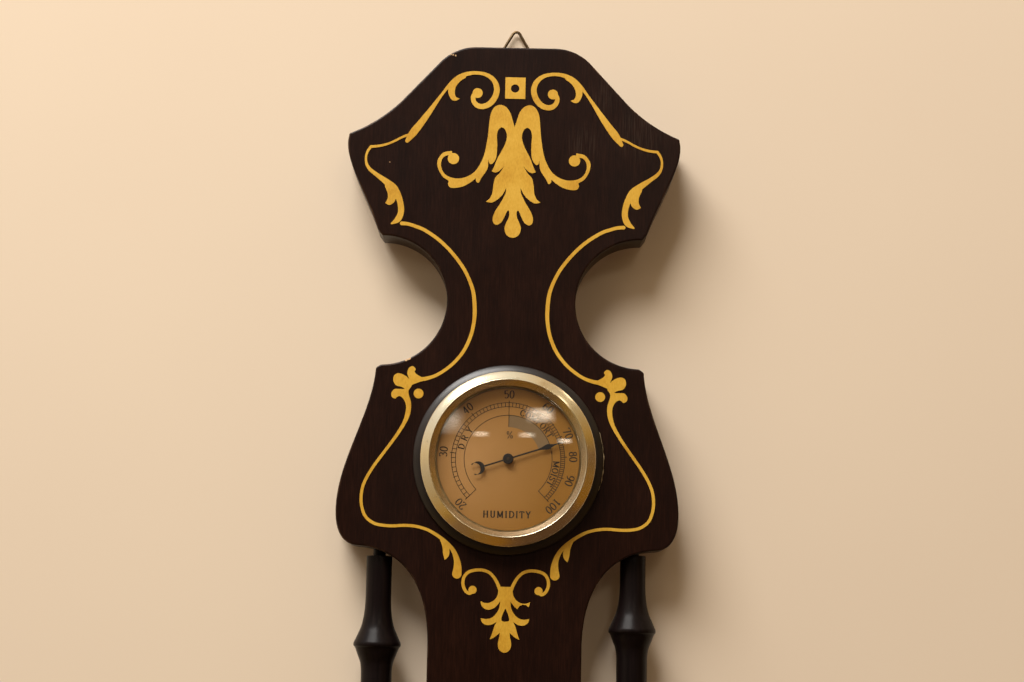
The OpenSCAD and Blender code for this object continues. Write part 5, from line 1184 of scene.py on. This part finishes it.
# Each lamp is a panel that faces the hygrometer, as (direction, distance, width, height, glow,
# warmth). Its glow is how bright the panel itself looks. The first is the brightest one in front.
lampTarget = Vector((0, -0.03, -0.1785))
lamps = [
    ((-0.33, -0.50, 0.80), 1.8, 1.2, 0.7, 16.0, 0.03),
    ((0.246, -0.868, 0.425), 2.4, 0.62, 0.34, 8.0, 0.14),
    ((-0.470, -0.805, 0.365), 2.4, 0.70, 0.55, 3.4, 0.14),
    ((-0.222, -0.937, 0.271), 2.4, 0.38, 0.13, 5.5, 0.14),
    ((0.146, -0.951, 0.270), 2.4, 0.38, 0.13, 5.5, 0.14),
    ((0.440, -0.868, 0.228), 2.4, 0.34, 0.12, 8.0, 0.14),
    ((0.633, -0.10, 0.770), 2.2, 0.55, 0.35, 4.0, 0.14),
    ((0.0, 0.87, 0.49), 2.4, 1.6, 1.0, 36.0, 0.03),
]


# Every lamp but the first fades toward its edges and glows unevenly
def softenLamp(data):
    n = Nodes(data)
    point = n.add("NewGeometry", output="Parametric")
    across = n.node("SeparateXYZ", {0: point}).outputs
    glow = n.between(n.noise(point, 1.0, 0.5, 3.0), 0.3, 0.7, 0.7, 1.3)
    for side in (across[0], across[1]):
        middle = n.math("ABSOLUTE", n.math("SUBTRACT", side, 0.5))
        glow = n.math("MULTIPLY", glow, n.between(middle, 0.5, 0.16))
    n.put(n.tree.nodes["Emission"], {"Strength": glow})


def makeLamp(name, first, direction, away, wide, high, glow, warm):
    data = bpy.data.lights.new(name, "AREA")
    data.shape = "RECTANGLE"
    data.size, data.size_y = wide, high
    data.energy = glow * math.pi * wide * high
    data.color = (1.0, 1.0 - warm, 1.0 - 2.4 * warm)
    panel = bpy.data.objects.new(name, data)
    bpy.context.scene.collection.objects.link(panel)
    toward = Vector(direction).normalized()
    turn = toward.to_track_quat("Z", "Y").to_matrix().to_4x4()
    panel.matrix_world = Matrix.Translation(lampTarget + toward * away) @ turn
    panel.visible_camera = False
    if first:
        # this lamp isn't mirrored in the domed glasses
        spared = bpy.data.collections.new("Spared")
        for piece in domes:
            spared.objects.link(piece)
        for item in spared.collection_objects:
            item.light_linking.link_state = "EXCLUDE"
        panel.light_linking.receiver_collection = spared
    else:
        softenLamp(data)


# The room's soft light: brighter above and to the left, darker below and in front
def makeWorld():
    world = bpy.data.worlds.new("Room")
    bpy.context.scene.world = world
    n = Nodes(world)
    n.tree.nodes.clear()
    direction = n.add("TexCoord", output="Generated")
    height, ahead = (
        n.add("VectorMath", {0: direction, 1: toward}, "Value", operation="DOT_PRODUCT")
        for toward in ((-0.50, 0.0, 0.866), (0, -1, 0)))
    soft = n.ramp(n.between(height, -1.0, 1.0),
                  (0.0, (0.08, 0.045, 0.025)), (0.08, (0.12, 0.062, 0.028)),
                  (0.12, (0.25, 0.11, 0.012)), (0.25, (0.21, 0.115, 0.035)),
                  (0.33, (0.18, 0.104, 0.055)), (0.43, (0.38, 0.22, 0.045)),
                  (0.62, (0.46, 0.36, 0.22)), (0.70, (0.52, 0.42, 0.30)),
                  (0.80, (0.74, 0.58, 0.37)), (0.92, (0.84, 0.80, 0.76)),
                  (1.0, (0.88, 0.86, 0.85)))
    soft = n.mix(n.between(ahead, 0.50, 0.85), soft, (0.09, 0.062, 0.04))
    seen = n.add("LightPath", output="Is Camera Ray")
    colour = n.mix(seen, soft, (0.86, 0.80, 0.72))
    n.node("OutputWorld", {0: n.add("Background", {"Color": colour})})


# A plain pale backdrop where the wall would be and a plain pale floor far below. The backdrop
# takes the object's shadow and is clear from behind.
def makeStage():
    wall = [(-3, 0.0006, -1.2), (3, 0.0006, -1.2), (3, 0.0006, 2.2), (-3, 0.0006, 2.2)]
    ground = [(-4, -4, -1.2), (4, -4, -1.2), (4, 4, -1.2), (-4, 4, -1.2)]
    for name, corners, clearBack in (("Backdrop", wall, True), ("Floor", ground, False)):
        mesh = bpy.data.meshes.new(name)
        mesh.from_pydata(corners, [], [(0, 1, 2, 3)])
        stageObject = bpy.data.objects.new(name, mesh)
        bpy.context.scene.collection.objects.link(stageObject)
        s = Surface("pale" + name)
        colour = s.ramp(s.noise((3, 3, 3), 3, 0.5), (0.3, (0.80, 0.66, 0.51)),
                        (0.7, (0.84, 0.70, 0.54)))
        mesh.materials.append(s.finished(colour, 0.9, None, {"Specular IOR Level": 0.1}))
        if clearBack:
            behind = s.add("NewGeometry", output="Backfacing")
            both = s.add("MixShader", {0: behind, 1: s.shader.outputs[0],
                                       2: s.add("BsdfTransparent")})
            s.put(s.end, {0: both})
            stageObject.visible_shadow = False
        stageObject.visible_diffuse = False
        stageObject.visible_transmission = False
        stageObject.visible_glossy = clearBack


makeCamera()
for k, lamp in enumerate(lamps):
    makeLamp(f"Panel{k}", k == 0, *lamp)
makeWorld()
makeStage()
bpy.context.scene.view_settings.view_transform = "Standard"
print("camera, light and backdrop ready")
